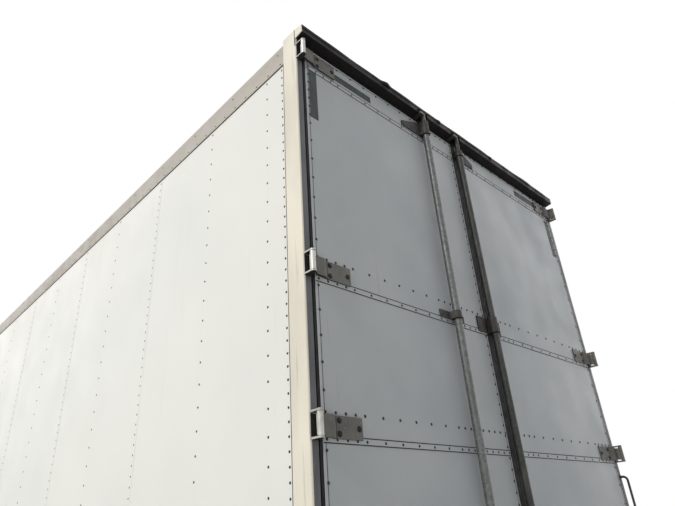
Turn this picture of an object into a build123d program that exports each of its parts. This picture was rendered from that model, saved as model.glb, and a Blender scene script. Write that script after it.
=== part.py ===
from build123d import *
import os

os.makedirs("parts", exist_ok=True)

# Dry van semi trailer. X runs to the kerb side, Y to the front, Z up, in millimetres.
# The origin is on the ground, under the middle of the whole outline.

# Van body
body_length = 14630
body_width = 2591
body_height = 4115
floor_top = 1283
floor_thickness = 35
wall_thickness = 38
front_wall_thickness = 56
front_corner_radius = 50
rail_setback = 3
rail_plate = 4
top_rail_depth = 126
top_rail_drop = 31
roof_thickness = 4
bow_pitch = 610
bow_depth = 25
bow_width = 60
bottom_rail_top = 1320
bottom_rail_foot = 1130
bottom_rail_flange = 46
crossmember_depth = 102
crossmember_width = 64
crossmember_pitch = 406
web = 6

# Rear frame
post_face = 38
post_depth = 96
post_corner = 8
stop_width = 52
stop_setback = 60
header_overhang = 48
header_fall = 8
header_strip = 25
header_lip = 52
header_lip_root = 62
end_plate = 4
end_plate_lap = 2
header_soffit = 72
header_stop = 110
notch_clearance = 30
sill_foot = 1100
sill_plate = 8

# Doors
door_thickness = 45
door_proud = 3
door_edge = 57
door_top_drop = 85
door_bottom_gap = 13
seal_width = 13
seal_top = 8
seal_lap = 22
seal_reach = 12.5
door_bevel = 10
seam_seal = 42
seam_gap = 9
seam_offset = -0.5

# Door hinges: the top one below the header's top, the lowest above the floor, two between them
top_hinge_drop = 152
low_hinge_rise = 278
middle_hinge_shares = (0.2573, 0.5137)
hinge_pin_inset = 12
hinge_pin_rear = 44
hinge_pin_radius = 8
hinge_bore_clearance = 0.08
barrel_radius = 11
barrel_height = 80
lug_thickness = 7
lug_gap = 1.5
leaf_height = 80
leaf_neck_height = 68
leaf_reach = 250
leaf_plate = 8
leaf_arm = 9
leaf_standoff = 24

# Lock rods, their bearing plates, keepers and handles
left_rod_from_seam = 318
right_rod_from_seam = 21
rod_rear = 35
rod_radius = 19
rod_tip_radius = 15
rod_top_drop = 34
rod_collar_drop = 169
rod_foot = 1165
hub_radius = 24
rod_clearance = 0.4
bearing_plate = 8
saddle_foot = 30
handle_height = 1450
handle_length = 450
handle_bar = 32
handle_bar_thickness = 10
handle_rear = 70
handle_sleeve_wall = 8
catch_from_tip = 50
catch_half = 35
catch_height = 96
catch_lip_half = 16
catch_lip = 8
catch_clearance = 4
keeper_near = 25
keeper_far = 57
keeper_room = 3
keeper_reach = 76
keeper_plate = 6
keeper_opening = 24
lower_keeper_height = 1196
upper_keeper_reach = 58
upper_keeper_root = 20
cam_height = 12
cam_inset = 4
cam_width = 13

# Running gear
tyre_radius = 520
tyre_width = 279
tread_width = 216
tyre_belly_radius = 410
bead_radius = 286.2
bead_width = 224
dual_spacing = 343
track = 1968.5
axle_setback = 1900
axle_spread = 1245
rim_radius = 285.8
rim_thickness = 23
rim_width = 230
drum_radius = 212
hub_flange_radius = 172
hub_barrel_radius = 105
hub_cap_radius = 85
hand_holes = 8
hand_hole_ring = 222
hand_hole_radius = 25
hand_hole_floor = -10
spindle_radius = 45
spindle_clearance = 0.3
axle_radius = 64

# Sliding tandem frame and springs
frame_rail_x = 560
frame_rail_width = 100
body_rail_depth = 100
frame_rail_depth = 150
spring_width = 76
leaf_thickness = 14
spring_leaves = 3
spring_arch = 60
hanger_plate = 12

# Landing gear and coupling
kingpin_setback = 914
kingpin_neck_radius = 25.4
kingpin_head_radius = 35.7
kingpin_length = 84
kingpin_flange_radius = 50
kingpin_flange = 12
kingpin_clearance = 0.3
coupler_height = 1194
coupler_plate_thickness = 8
coupler_length = 1560
coupler_half_width = 1150
landing_setback = 2700
landing_leg_x = 915
leg_housing = 127
leg_inner = 102
leg_housing_foot = 470
foot_size = 254
foot_thickness = 12

# Reach of the rearmost and foremost pieces beyond the body
rear_reach = keeper_reach
front_reach = 90

# Derived places
side = body_width / 2
rear_y = -(body_length + rear_reach + front_reach) / 2 + rear_reach
front_y = rear_y + body_length
crossmember_top = floor_top - floor_thickness
crossmember_foot = crossmember_top - crossmember_depth
rail_face = side - rail_setback
wall_outer = rail_face - rail_plate
wall_inner = wall_outer - wall_thickness
frame_front = rear_y + post_depth
wall_front = front_y - rail_plate - front_wall_thickness
roof_top = body_height - top_rail_drop + roof_thickness
roof_foot = roof_top - roof_thickness
wall_head = roof_foot - rail_plate
door_head = body_height - door_top_drop
door_foot = floor_top + door_bottom_gap
kingpin_y = front_y - kingpin_setback
landing_y = kingpin_y - landing_setback
rear_axle_y = rear_y + axle_setback
front_axle_y = rear_axle_y + axle_spread
axle_z = tyre_radius
body_rail_foot = crossmember_foot - body_rail_depth
frame_rail_foot = body_rail_foot - frame_rail_depth
top_hinge = body_height - top_hinge_drop
low_hinge = floor_top + low_hinge_rise
middle_hinges = [low_hinge + share * (top_hinge - low_hinge) for share in reversed(middle_hinge_shares)]
hinge_heights = [top_hinge, *middle_hinges, low_hinge]
seam_u = body_width / 2 + seam_offset
left_door_edge = seam_u - seam_gap
left_rod_u = seam_u - left_rod_from_seam
right_rod_u = body_width - seam_u - right_rod_from_seam


def finish(piece, name):
    """Label a finished piece and write its file."""
    piece.part.label = name
    export_step(piece.part, f"parts/{name}.step")


def span(low, high):
    """Two limits in rising order."""
    return (min(low, high), max(low, high))


def block(x, y, z, mode=Mode.ADD):
    """A square-edged block between two limits along each axis."""
    middle = tuple((low + high) / 2 for low, high in (x, y, z))
    size = [high - low for low, high in (x, y, z)]
    with Locations(middle):
        Box(*size, mode=mode)


def prism(points, plane, amount, mode=Mode.ADD):
    """A straight-sided outline on a plane, extruded along the plane's normal."""
    with BuildSketch(plane) as outline:
        with BuildLine():
            Polyline(*points, close=True)
        make_face()
    extrude(outline.sketch, amount=amount, mode=mode)


def rod(start, end, radius, mode=Mode.ADD):
    """A round bar between two points."""
    run = Vector(*end) - Vector(*start)
    with BuildSketch(Plane(origin=start, z_dir=run)) as section:
        Circle(radius)
    extrude(section.sketch, amount=run.length, mode=mode)


# Side walls: sheet, posts and lining as one panel
for name, hand in (("side_wall_left", -1), ("side_wall_right", 1)):
    with BuildPart() as wall:
        thickness = span(hand * wall_outer, hand * wall_inner)
        block(thickness, (frame_front, wall_front), (crossmember_top, wall_head))
    finish(wall, name)

# Front wall with rounded outer corners
with BuildPart() as front_wall:
    with BuildSketch(Plane.XY.offset(crossmember_top)) as front_plan:
        with Locations((0, wall_front + front_wall_thickness / 2)):
            Rectangle(2 * wall_outer, front_wall_thickness)
        fillet(front_plan.vertices().group_by(Axis.Y)[-1], front_corner_radius)
    extrude(amount=roof_foot - crossmember_top)
finish(front_wall, "front_wall")

# Bands round the front wall, in line with the top and bottom rails
front_bands = (
    # foot, head
    (bottom_rail_foot, bottom_rail_top),
    (roof_foot - top_rail_depth, roof_foot),
)
with BuildPart() as bands:
    for foot, head in front_bands:
        with BuildSketch(Plane.XY.offset(foot)) as band_plan:
            with Locations((0, (wall_front + front_y) / 2)):
                Rectangle(2 * rail_face, front_y - wall_front)
            fillet(band_plan.vertices().group_by(Axis.Y)[-1], front_corner_radius + rail_plate)
        extrude(amount=head - foot)
    with BuildSketch(Plane.XY.offset(bottom_rail_foot)) as band_core:
        with Locations((0, wall_front + front_wall_thickness / 2)):
            Rectangle(2 * wall_outer, front_wall_thickness)
        fillet(band_core.vertices().group_by(Axis.Y)[-1], front_corner_radius)
    extrude(amount=roof_foot - bottom_rail_foot, mode=Mode.SUBTRACT)
finish(bands, "front_bands")

# Roof sheet and the bows under it
with BuildPart() as roof:
    with BuildSketch(Plane.XY.offset(roof_foot)) as roof_plan:
        with Locations((0, (frame_front + front_y) / 2)):
            Rectangle(2 * rail_face, front_y - frame_front)
        fillet(roof_plan.vertices().group_by(Axis.Y)[-1], front_corner_radius + rail_plate)
    extrude(amount=roof_thickness)
finish(roof, "roof")

bow_count = int((wall_front - frame_front - bow_pitch / 2) // bow_pitch)
bow_outline = (
    (-bow_width / 2, 0),
    (-bow_width / 4, -bow_depth),
    (bow_width / 4, -bow_depth),
    (bow_width / 2, 0),
)
with BuildPart() as bows:
    for index in range(bow_count):
        bow_y = frame_front + bow_pitch * (index + 1)
        points = [(bow_y + y, roof_foot + z) for y, z in bow_outline]
        prism(points, Plane.YZ.offset(-wall_inner), 2 * wall_inner)
finish(bows, "roof_bows")

# Top rails: an angle over the edge of the wall
top_rail_outline = (
    (rail_face, roof_foot),
    (rail_face, roof_foot - top_rail_depth),
    (wall_outer, roof_foot - top_rail_depth),
    (wall_outer, wall_head),
    (wall_inner, wall_head),
    (wall_inner, roof_foot),
)
with BuildPart() as top_rails:
    prism(top_rail_outline, Plane.XZ.offset(-frame_front), frame_front - wall_front)
    mirror(about=Plane.YZ)
finish(top_rails, "top_rails")

# Bottom rails with pockets for the side marker lamps
marker_length = 102
marker_height = 28
marker_z = 1180
marker_clearance = 0.4
marker_ys = (
    frame_front + 150,
    (frame_front + wall_front) / 2,
    wall_front - 150,
)
bottom_rail_outline = (
    (rail_face, bottom_rail_top),
    (rail_face, bottom_rail_foot),
    (rail_face - bottom_rail_flange, bottom_rail_foot),
    (rail_face - bottom_rail_flange, bottom_rail_foot + rail_plate),
    (wall_outer, bottom_rail_foot + rail_plate),
    (wall_outer, bottom_rail_top),
)
with BuildPart() as bottom_rails:
    prism(bottom_rail_outline, Plane.XZ.offset(-frame_front), frame_front - wall_front)
    with Locations(*[(rail_face, y, marker_z) for y in marker_ys]):
        Box(
            4 * rail_plate,
            marker_length + 2 * marker_clearance,
            marker_height + 2 * marker_clearance,
            mode=Mode.SUBTRACT,
        )
    mirror(about=Plane.YZ)
finish(bottom_rails, "bottom_rails")

with BuildPart() as side_markers:
    for marker_y in marker_ys:
        block(
            (wall_outer, rail_face),
            (marker_y - marker_length / 2, marker_y + marker_length / 2),
            (marker_z - marker_height / 2, marker_z + marker_height / 2),
        )
    mirror(about=Plane.YZ)
finish(side_markers, "side_markers")

# Floor
with BuildPart() as floor:
    block((-wall_inner, wall_inner), (frame_front, wall_front), (crossmember_top, floor_top))
finish(floor, "floor")

# Crossmembers: I-beams behind the coupler, low channels above its plate
beam_outline = (
    (-crossmember_width / 2, 0),
    (crossmember_width / 2, 0),
    (crossmember_width / 2, web),
    (web / 2, web),
    (web / 2, crossmember_depth - web),
    (crossmember_width / 2, crossmember_depth - web),
    (crossmember_width / 2, crossmember_depth),
    (-crossmember_width / 2, crossmember_depth),
    (-crossmember_width / 2, crossmember_depth - web),
    (-web / 2, crossmember_depth - web),
    (-web / 2, web),
    (-crossmember_width / 2, web),
)
coupler_back = wall_front - coupler_length
beam_first = frame_front + crossmember_pitch / 2
coupler_top = coupler_height + coupler_plate_thickness
channel_pitch = 250
channel_first = coupler_back + 40
plate_front = wall_front - 10
plate_turn = plate_front - 44
channel_count = int((plate_turn - crossmember_width / 2 - channel_first) // channel_pitch) + 1
beam_count = int((coupler_back - crossmember_width - beam_first) // crossmember_pitch) + 1
with BuildPart() as crossmembers:
    for index in range(beam_count):
        beam_y = beam_first + crossmember_pitch * index
        points = [(beam_y + y, crossmember_foot + z) for y, z in beam_outline]
        prism(points, Plane.YZ.offset(-wall_outer), 2 * wall_outer)
    for index in range(channel_count):
        channel_y = channel_first + channel_pitch * index
        block(
            (-wall_outer, wall_outer),
            (channel_y - crossmember_width / 2, channel_y + crossmember_width / 2),
            (coupler_top, crossmember_top),
        )
finish(crossmembers, "crossmembers")

# Coupler plate with its turned-up front edge
plate_outline = (
    (coupler_back, coupler_height),
    (plate_front - 40, coupler_height),
    (plate_front, coupler_height + 40),
    (plate_front, coupler_height + 40 + 1.4 * coupler_plate_thickness),
    (plate_turn, coupler_top),
    (coupler_back, coupler_top),
)
with BuildPart() as coupler_plate:
    prism(plate_outline, Plane.YZ.offset(-coupler_half_width), 2 * coupler_half_width)
    with BuildSketch(Plane.XY.offset(coupler_height)):
        with Locations((0, kingpin_y)):
            Circle(kingpin_head_radius + kingpin_clearance)
    extrude(amount=coupler_plate_thickness, mode=Mode.SUBTRACT)
finish(coupler_plate, "coupler_plate")

# Kingpin
kingpin_outline = (
    (0, coupler_top + kingpin_flange),
    (kingpin_flange_radius, coupler_top + kingpin_flange),
    (kingpin_flange_radius, coupler_top),
    (kingpin_head_radius, coupler_top),
    (kingpin_head_radius, coupler_height - 14),
    (kingpin_neck_radius, coupler_height - 20),
    (kingpin_neck_radius, coupler_height - 56),
    (kingpin_head_radius, coupler_height - 62),
    (kingpin_head_radius, coupler_height - kingpin_length + 4),
    (kingpin_head_radius - 4, coupler_height - kingpin_length),
    (0, coupler_height - kingpin_length),
)
with BuildPart() as kingpin:
    with BuildSketch(Plane(origin=(0, kingpin_y, 0), x_dir=(1, 0, 0), z_dir=(0, -1, 0))):
        with BuildLine():
            Polyline(*kingpin_outline, close=True)
        make_face()
    revolve(axis=Axis((0, kingpin_y, 0), (0, 0, 1)))
finish(kingpin, "kingpin")

# Corner posts: outer face, the stop that the doors close on and the end plate of the header's overhang
post_outline = (
    (side, rear_y),
    (side - post_face, rear_y),
    (side - post_face, rear_y + stop_setback),
    (side - post_face - stop_width, rear_y + stop_setback),
    (side - post_face - stop_width, frame_front),
    (side, frame_front),
)
overhang_rear = rear_y - header_overhang
plate_rear = overhang_rear - end_plate_lap
end_plate_outline = (
    (rear_y + 2 * post_corner, body_height),
    (plate_rear, body_height - header_fall),
    (plate_rear, body_height - header_lip - end_plate_lap),
    (rear_y + 2 * post_corner, body_height - header_lip_root - end_plate_lap),
)
with BuildPart() as corner_posts:
    with BuildSketch(Plane.XY.offset(floor_top)) as post_plan:
        with BuildLine():
            Polyline(*post_outline, close=True)
        make_face()
        fillet(post_plan.vertices().sort_by_distance((side, rear_y, floor_top))[0], post_corner)
    extrude(amount=body_height - floor_top)
    prism(end_plate_outline, Plane.YZ.offset(side - end_plate), end_plate)
    mirror(about=Plane.YZ)
finish(corner_posts, "corner_posts")

# Rear header between the posts, with the strip over the lock rods
lip_top = body_height - header_strip
overhang_end = side - end_plate
strip_outline = (
    (rear_y, body_height),
    (overhang_rear, body_height - header_fall),
    (overhang_rear, lip_top),
    (rear_y, lip_top),
)
with BuildPart() as header:
    prism(strip_outline, Plane.YZ.offset(-overhang_end), 2 * overhang_end)
    inner = side - post_face
    block((-inner, inner), (rear_y, rear_y + stop_setback), (body_height - header_soffit, body_height))
    stop_inner = inner - stop_width
    stop_depth = (rear_y + stop_setback, frame_front)
    block((-stop_inner, stop_inner), stop_depth, (body_height - header_stop, body_height))
finish(header, "rear_header")

# Drip rail under the strip, in three lengths that leave room for the lock rods and their keepers
left_rod_x = -side + left_rod_u
right_rod_x = side - right_rod_u
keeper_start = keeper_far + keeper_room
drip_ends = (
    (-overhang_end, left_rod_x - keeper_start),
    (left_rod_x + notch_clearance, right_rod_x - keeper_start),
    (right_rod_x + notch_clearance, overhang_end),
)
drip_outline = (
    (rear_y, lip_top),
    (overhang_rear, lip_top),
    (overhang_rear, body_height - header_lip),
    (rear_y, body_height - header_lip_root),
)
with BuildPart() as drip_rail:
    for start, end in drip_ends:
        prism(drip_outline, Plane.YZ.offset(start), end - start)
finish(drip_rail, "header_drip_rail")

# Rear sill: a channel open to the front, with round lamp holes
lamp_radius = 51
lamp_clearance = 0.4
lamp_z = 1190
lamp_xs = (840, 980)
small_lamp_length = 102
small_lamp_height = 28
small_lamp_xs = (-150, 0, 150, -1160, 1160)
small_lamp_z = 1136
with BuildPart() as sill:
    block((-side, side), (rear_y, frame_front), (sill_foot, floor_top))
    block(
        (-side + sill_plate, side - sill_plate),
        (rear_y + sill_plate, frame_front),
        (sill_foot + sill_plate, floor_top - sill_plate),
        mode=Mode.SUBTRACT,
    )
    lamp_places = [(hand * x, rear_y, lamp_z) for hand in (-1, 1) for x in lamp_xs]
    with Locations(*[Location(place, (90, 0, 0)) for place in lamp_places]):
        Cylinder(lamp_radius + lamp_clearance, 4 * sill_plate, mode=Mode.SUBTRACT)
finish(sill, "rear_sill")

# Rear lamps: round stop lamps in the holes, small marker lamps on the face
lamp_proud = 10
with BuildPart() as rear_lamps:
    for hand in (-1, 1):
        for lamp_x in lamp_xs:
            with BuildSketch(Plane.XZ.offset(-rear_y - sill_plate)):
                with Locations((hand * lamp_x, lamp_z)):
                    Circle(lamp_radius)
            extrude(amount=sill_plate + lamp_proud)
    for lamp_x in small_lamp_xs:
        block(
            (lamp_x - small_lamp_length / 2, lamp_x + small_lamp_length / 2),
            (rear_y - lamp_proud, rear_y),
            (small_lamp_z - small_lamp_height / 2, small_lamp_z + small_lamp_height / 2),
        )
finish(rear_lamps, "rear_lamps")

# Hinge butts: two lugs, a web on the post and the pin
pin_y = rear_y - hinge_pin_rear
pin_x = side - hinge_pin_inset
butt_height = barrel_height + 2 * lug_gap + 2 * lug_thickness
pin_head = 2
lug_outline = (
    (side, rear_y),
    (side - 34, rear_y),
    (pin_x - hinge_pin_inset, pin_y),
    (side, pin_y),
)
with BuildPart() as butts:
    for height in hinge_heights:
        low = height - butt_height / 2
        for lug_foot in (low, low + butt_height - lug_thickness):
            with BuildSketch(Plane.XY.offset(lug_foot)):
                with BuildLine():
                    Polyline(*lug_outline, close=True)
                make_face()
                with Locations((pin_x, pin_y)):
                    Circle(hinge_pin_inset)
            extrude(amount=lug_thickness)
        block((side - 34, side), (rear_y - 6, rear_y), (low, low + butt_height))
        rod((pin_x, pin_y, low), (pin_x, pin_y, low + butt_height + pin_head), hinge_pin_radius)
    mirror(about=Plane.YZ)
finish(butts, "hinge_butts")

# Keepers for the lock rods' cams, under the header's strip and on the sill
keeper_half = keeper_opening / 2 + keeper_plate
upper_keeper_z = lip_top - keeper_half
keepers = (
    # lock rod x, height, thickness at the root, reach behind the posts
    (left_rod_x, upper_keeper_z, upper_keeper_root, upper_keeper_reach),
    (right_rod_x, upper_keeper_z, upper_keeper_root, upper_keeper_reach),
    (left_rod_x, lower_keeper_height, keeper_plate, keeper_reach),
    (right_rod_x, lower_keeper_height, keeper_plate, keeper_reach),
)
with BuildPart() as rod_keepers:
    for rod_x, height, root, reach in keepers:
        far = rear_y - reach
        keeper_outline = (
            (rear_y, height - keeper_half),
            (far, height - keeper_half),
            (far, height - keeper_opening / 2),
            (rear_y - root, height - keeper_opening / 2),
            (rear_y - root, height + keeper_opening / 2),
            (far, height + keeper_opening / 2),
            (far, height + keeper_half),
            (rear_y, height + keeper_half),
        )
        prism(keeper_outline, Plane.YZ.offset(rod_x - keeper_far), keeper_far - keeper_near)
finish(rod_keepers, "rod_keepers")

# Grab handle on the right corner post
grab_below_hinge = 134
grab_above_hinge = 74
grab_top = hinge_heights[2] - grab_below_hinge
grab_foot = hinge_heights[3] + grab_above_hinge
grab_radius = 7
grab_standoff = 38
grab_x = side - 18
grab_bend = 24
with BuildPart() as grab_handle:
    with BuildLine() as grab_path:
        FilletPolyline(
            (grab_x, rear_y, grab_foot),
            (grab_x, rear_y - grab_standoff, grab_foot),
            (grab_x, rear_y - grab_standoff, grab_top),
            (grab_x, rear_y, grab_top),
            radius=grab_bend,
        )
    with BuildSketch(Plane(origin=(grab_x, rear_y, grab_foot), z_dir=(0, -1, 0))):
        Circle(grab_radius)
    sweep(path=grab_path.wire())
finish(grab_handle, "grab_handle")


# Doors. Places on a door are (u, v): u inboard from its side of the body, v forward from the post faces.
def door_point(hand, u, v):
    """A place in plan on the left (-1) or right (1) door."""
    return (hand * (side - u), rear_y + v)


def door_prism(hand, points, foot, height, mode=Mode.ADD):
    """A plan outline in door measures, extruded upwards."""
    prism([door_point(hand, u, v) for u, v in points], Plane.XY.offset(foot), height, mode)


def make_panel(hand, inner_edge, bevel):
    """One door panel, its inner edge bevelled to clear the other door."""
    back = door_thickness - door_proud
    outline = (
        (door_edge, -door_proud),
        (inner_edge, -door_proud),
        (inner_edge - bevel, back),
        (door_edge, back),
    )
    with BuildPart() as panel:
        door_prism(hand, outline, door_foot, door_head - door_foot)
    return panel


def make_seal(hand, inner_edge, seam):
    """The rubber seal round one door, and over the seam where the door carries it."""
    back = door_thickness - door_proud
    low = door_foot - seal_top
    high = door_head + seal_top
    near = door_edge - seal_width
    far = inner_edge + seam
    with BuildPart() as seal:
        door_prism(hand, ((near, 0), (far, 0), (far, back), (near, back)), low, high - low)
        lap = seal_reach + back
        edge = far - door_bevel
        door_prism(hand, ((near, back), (edge, back), (edge, lap), (near, lap)), low, high - low)
        hole = (
            (door_edge, -1),
            (inner_edge, -1),
            (inner_edge, back),
            (door_edge, back),
        )
        if seam == 0:
            hole = ((door_edge, -1), (far + 1, -1), (far + 1, back), (door_edge, back))
        door_prism(hand, hole, door_foot, door_head - door_foot, mode=Mode.SUBTRACT)
        inner_near = door_edge + seal_lap
        inner_far = edge + 1 if seam == 0 else inner_edge - seal_lap
        flap = ((inner_near, back), (inner_far, back), (inner_far, lap + 1), (inner_near, lap + 1))
        door_prism(
            hand, flap, door_foot + seal_lap, door_head - door_foot - 2 * seal_lap, mode=Mode.SUBTRACT
        )
    return seal


def make_leaves(hand):
    """The hinge leaves of one door: a barrel, a neck, a raised arm and a plate on the door."""
    face = door_proud
    arm_rear = -leaf_standoff
    neck_end = 50
    outline = (
        (neck_end, arm_rear),
        (93, arm_rear),
        (115, -face - leaf_plate),
        (leaf_reach, -face - leaf_plate),
        (leaf_reach, -face),
        (108, -face),
        (87, arm_rear + leaf_arm),
        (neck_end, arm_rear + leaf_arm),
    )
    neck = (
        (hinge_pin_inset, -hinge_pin_rear - barrel_radius),
        (hinge_pin_inset + 18, arm_rear),
        (neck_end + 1, arm_rear),
        (neck_end + 1, arm_rear + leaf_arm),
        (hinge_pin_inset + 10, arm_rear + leaf_arm),
        (hinge_pin_inset, arm_rear),
    )
    pin = door_point(hand, hinge_pin_inset, -hinge_pin_rear)
    with BuildPart() as leaves:
        for height in hinge_heights:
            door_prism(hand, outline, height - leaf_height / 2, leaf_height)
            ring = Plane.XY.offset(height - barrel_height / 2)
            with BuildSketch(ring):
                with Locations(pin):
                    Circle(barrel_radius)
            extrude(amount=barrel_height)
            door_prism(hand, neck, height - leaf_neck_height / 2, leaf_neck_height)
            with BuildSketch(ring):
                with Locations(pin):
                    Circle(hinge_pin_radius + hinge_bore_clearance)
            extrude(amount=barrel_height, mode=Mode.SUBTRACT)
    return leaves


def cam_points(centre_u, toward, rear):
    """The cam's plan outline back to rear; toward is the way along u to its keeper."""
    shape = (
        (-4, -48),
        (14, -rear),
        (46, -rear),
        (46, cam_width - rear),
        (24, cam_width - rear),
        (8, -24),
    )
    return [(centre_u + toward * u, v) for u, v in shape]


def make_rod(hand, rod_u, cam_toward):
    """One lock rod with its upper and lower cams and its handle."""
    x, y = door_point(hand, rod_u, -rod_rear)
    top = body_height - rod_top_drop
    collar = body_height - rod_collar_drop
    with BuildPart() as lock_rod:
        rod((x, y, collar), (x, y, top), rod_tip_radius)
        rod((x, y, rod_foot), (x, y, collar), rod_radius)
        for height, reach in ((upper_keeper_z, upper_keeper_reach), (lower_keeper_height, keeper_reach)):
            points = cam_points(rod_u, cam_toward, reach - cam_inset)
            door_prism(hand, points, height - cam_height / 2, cam_height)
        hub = rod_radius + handle_sleeve_wall
        sleeve = (
            (rod_u + hub, -rod_rear + hub),
            (rod_u + hub, -handle_rear),
            (rod_u - hub, -handle_rear),
            (rod_u - hub, -rod_rear + hub),
        )
        door_prism(hand, sleeve, handle_height - handle_bar, 2 * handle_bar)
        tip = rod_u - handle_length
        lever = (
            (rod_u, -handle_rear),
            (tip, -handle_rear),
            (tip, -handle_rear + handle_bar_thickness),
            (rod_u, -handle_rear + handle_bar_thickness),
        )
        door_prism(hand, lever, handle_height - handle_bar / 2, handle_bar)
    return lock_rod


def bearing_outline(rod_u, near, far):
    """A bearing plate from near to far with its saddle up to the lock rod."""
    face = -door_proud
    return (
        (near, face),
        (near, face - bearing_plate),
        (rod_u - saddle_foot, face - bearing_plate),
        (rod_u - hub_radius, -rod_rear),
        (rod_u + hub_radius, -rod_rear),
        (min(rod_u + saddle_foot, far - 2), face - bearing_plate),
        (far, face - bearing_plate),
        (far, face),
    )


def make_brackets(hand, rod_u, bearings, catch_u, strikes):
    """The bearing plates of one lock rod, the catch for its handle and the strike plates."""
    with BuildPart() as brackets:
        centre = door_point(hand, rod_u, -rod_rear)
        for middle, height, tip_height, near, far in bearings:
            foot = middle - height / 2
            door_prism(hand, bearing_outline(rod_u, rod_u - near, rod_u + far), foot, height)
            if tip_height < height:
                tip_x = hand * (side - rod_u + near)
                rod_x = hand * (side - rod_u + saddle_foot)
                corner = (
                    (tip_x + hand, foot + tip_height),
                    (rod_x, foot + height),
                    (rod_x, foot + height + 1),
                    (tip_x + hand, foot + height + 1),
                )
                prism(corner, Plane.XZ.offset(-rear_y), 2 * bearing_plate, mode=Mode.SUBTRACT)
            with BuildSketch(Plane.XY.offset(foot)):
                with Locations(centre):
                    Circle(hub_radius)
            extrude(amount=height)
            with BuildSketch(Plane.XY.offset(foot)):
                with Locations(centre):
                    Circle(rod_radius + rod_clearance)
            extrude(amount=height, mode=Mode.SUBTRACT)
        face = -door_proud
        plate = face - bearing_plate
        near = catch_u - catch_half
        far = catch_u + catch_half
        outline = ((near, face), (far, face), (far, plate), (near, plate))
        door_prism(hand, outline, handle_height - catch_height / 2, catch_height)
        near = catch_u - catch_lip_half
        far = catch_u + catch_lip_half
        outline = ((near, face), (far, face), (far, -handle_rear), (near, -handle_rear))
        opening = handle_bar / 2 + catch_clearance
        for foot in (handle_height - opening - catch_lip, handle_height + opening):
            door_prism(hand, outline, foot, catch_lip)
        far = left_door_edge - strike_inset
        near = far - strike_width
        outline = ((near, face), (far, face), (far, plate), (near, plate))
        for middle, height, *_ in strikes:
            door_prism(hand, outline, middle - height / 2, height)
    return brackets


right_door_edge = body_width - seam_u - seam_seal
doors = (
    # name, hand, inner edge u, bevel, seal beyond the edge, lock rod u, way along u to the keepers
    ("left", -1, left_door_edge, door_bevel, 0, left_rod_u, -1),
    ("right", 1, right_door_edge, 0, seam_seal, right_rod_u, 1),
)
upper_plate_reach = 188
plate_reach = 105
lower_bearing = floor_top + 482
foot_bearing = floor_top + 82
# The right rod stands over the seam, so its plates reach only 20 towards it
bearings = {
    # middle, height at the rod, height at the tip, reach towards the hinges, reach towards the seam
    "left": (
        (body_height - 144, 96, 30, upper_plate_reach, 30),
        (hinge_heights[1] - 18, 38, 38, plate_reach, 93),
        (lower_bearing, 38, 38, plate_reach, 93),
        (foot_bearing, 70, 70, plate_reach, 93),
    ),
    "right": (
        (body_height - 171, 38, 38, upper_plate_reach, 20),
        (hinge_heights[1] - 5, 84, 84, plate_reach, 20),
        (lower_bearing, 84, 84, plate_reach, 20),
        (foot_bearing, 70, 70, plate_reach, 20),
    ),
}
# Strike plates on the left door, beside the right door's two middle bearings
strike_inset = 8
strike_width = 74
strike_rows = {"left": bearings["right"][1:3], "right": ()}
for name, hand, inner_edge, bevel, seam, rod_u, cam_toward in doors:
    finish(make_panel(hand, inner_edge, bevel), f"door_panel_{name}")
    finish(make_seal(hand, inner_edge, seam), f"door_seal_{name}")
    finish(make_leaves(hand), f"door_hinges_{name}")
    finish(make_rod(hand, rod_u, cam_toward), f"lock_rod_{name}")
    catch_u = rod_u - handle_length + catch_from_tip
    brackets = make_brackets(hand, rod_u, bearings[name], catch_u, strike_rows[name])
    finish(brackets, f"rod_brackets_{name}")

# Body rails that the tandem slides along
body_rail_setback = 420
body_rail_lead = 1500
body_rail_back = rear_y + body_rail_setback
body_rail_front = front_axle_y + body_rail_lead
body_rail_outline = (
    (frame_rail_x - frame_rail_width / 2, crossmember_foot),
    (frame_rail_x + frame_rail_width / 2 + 30, crossmember_foot),
    (frame_rail_x + frame_rail_width / 2 + 30, crossmember_foot - 10),
    (frame_rail_x + frame_rail_width / 2, crossmember_foot - 10),
    (frame_rail_x + frame_rail_width / 2, body_rail_foot),
    (frame_rail_x - frame_rail_width / 2, body_rail_foot),
)
with BuildPart() as body_rails:
    prism(body_rail_outline, Plane.XZ.offset(-body_rail_back), body_rail_back - body_rail_front)
    mirror(about=Plane.YZ)
finish(body_rails, "slide_rails")

# Sliding tandem frame: two rails, cross beams and six spring hangers
spring_top = axle_z + axle_radius + 24 + spring_leaves * leaf_thickness
spring_end = spring_top - spring_arch
half_spring = 520
tandem_middle = (rear_axle_y + front_axle_y) / 2
frame_back = rear_axle_y - half_spring - 160
frame_front_end = front_axle_y + half_spring + 160
hanger_ys = (rear_axle_y - half_spring, tandem_middle, front_axle_y + half_spring)
hanger_foot = spring_end - 60
hanger_inside = spring_width / 2 + 4
seat_gap = 0.3
spring_radius = (half_spring**2 + spring_arch**2) / (2 * spring_arch)


def spring_surface(offset, depth=0):
    """Height of a spring, or of a surface at a depth in it, at an offset from its axle."""
    return spring_top - spring_radius + ((spring_radius - depth) ** 2 - offset**2) ** 0.5


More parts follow.
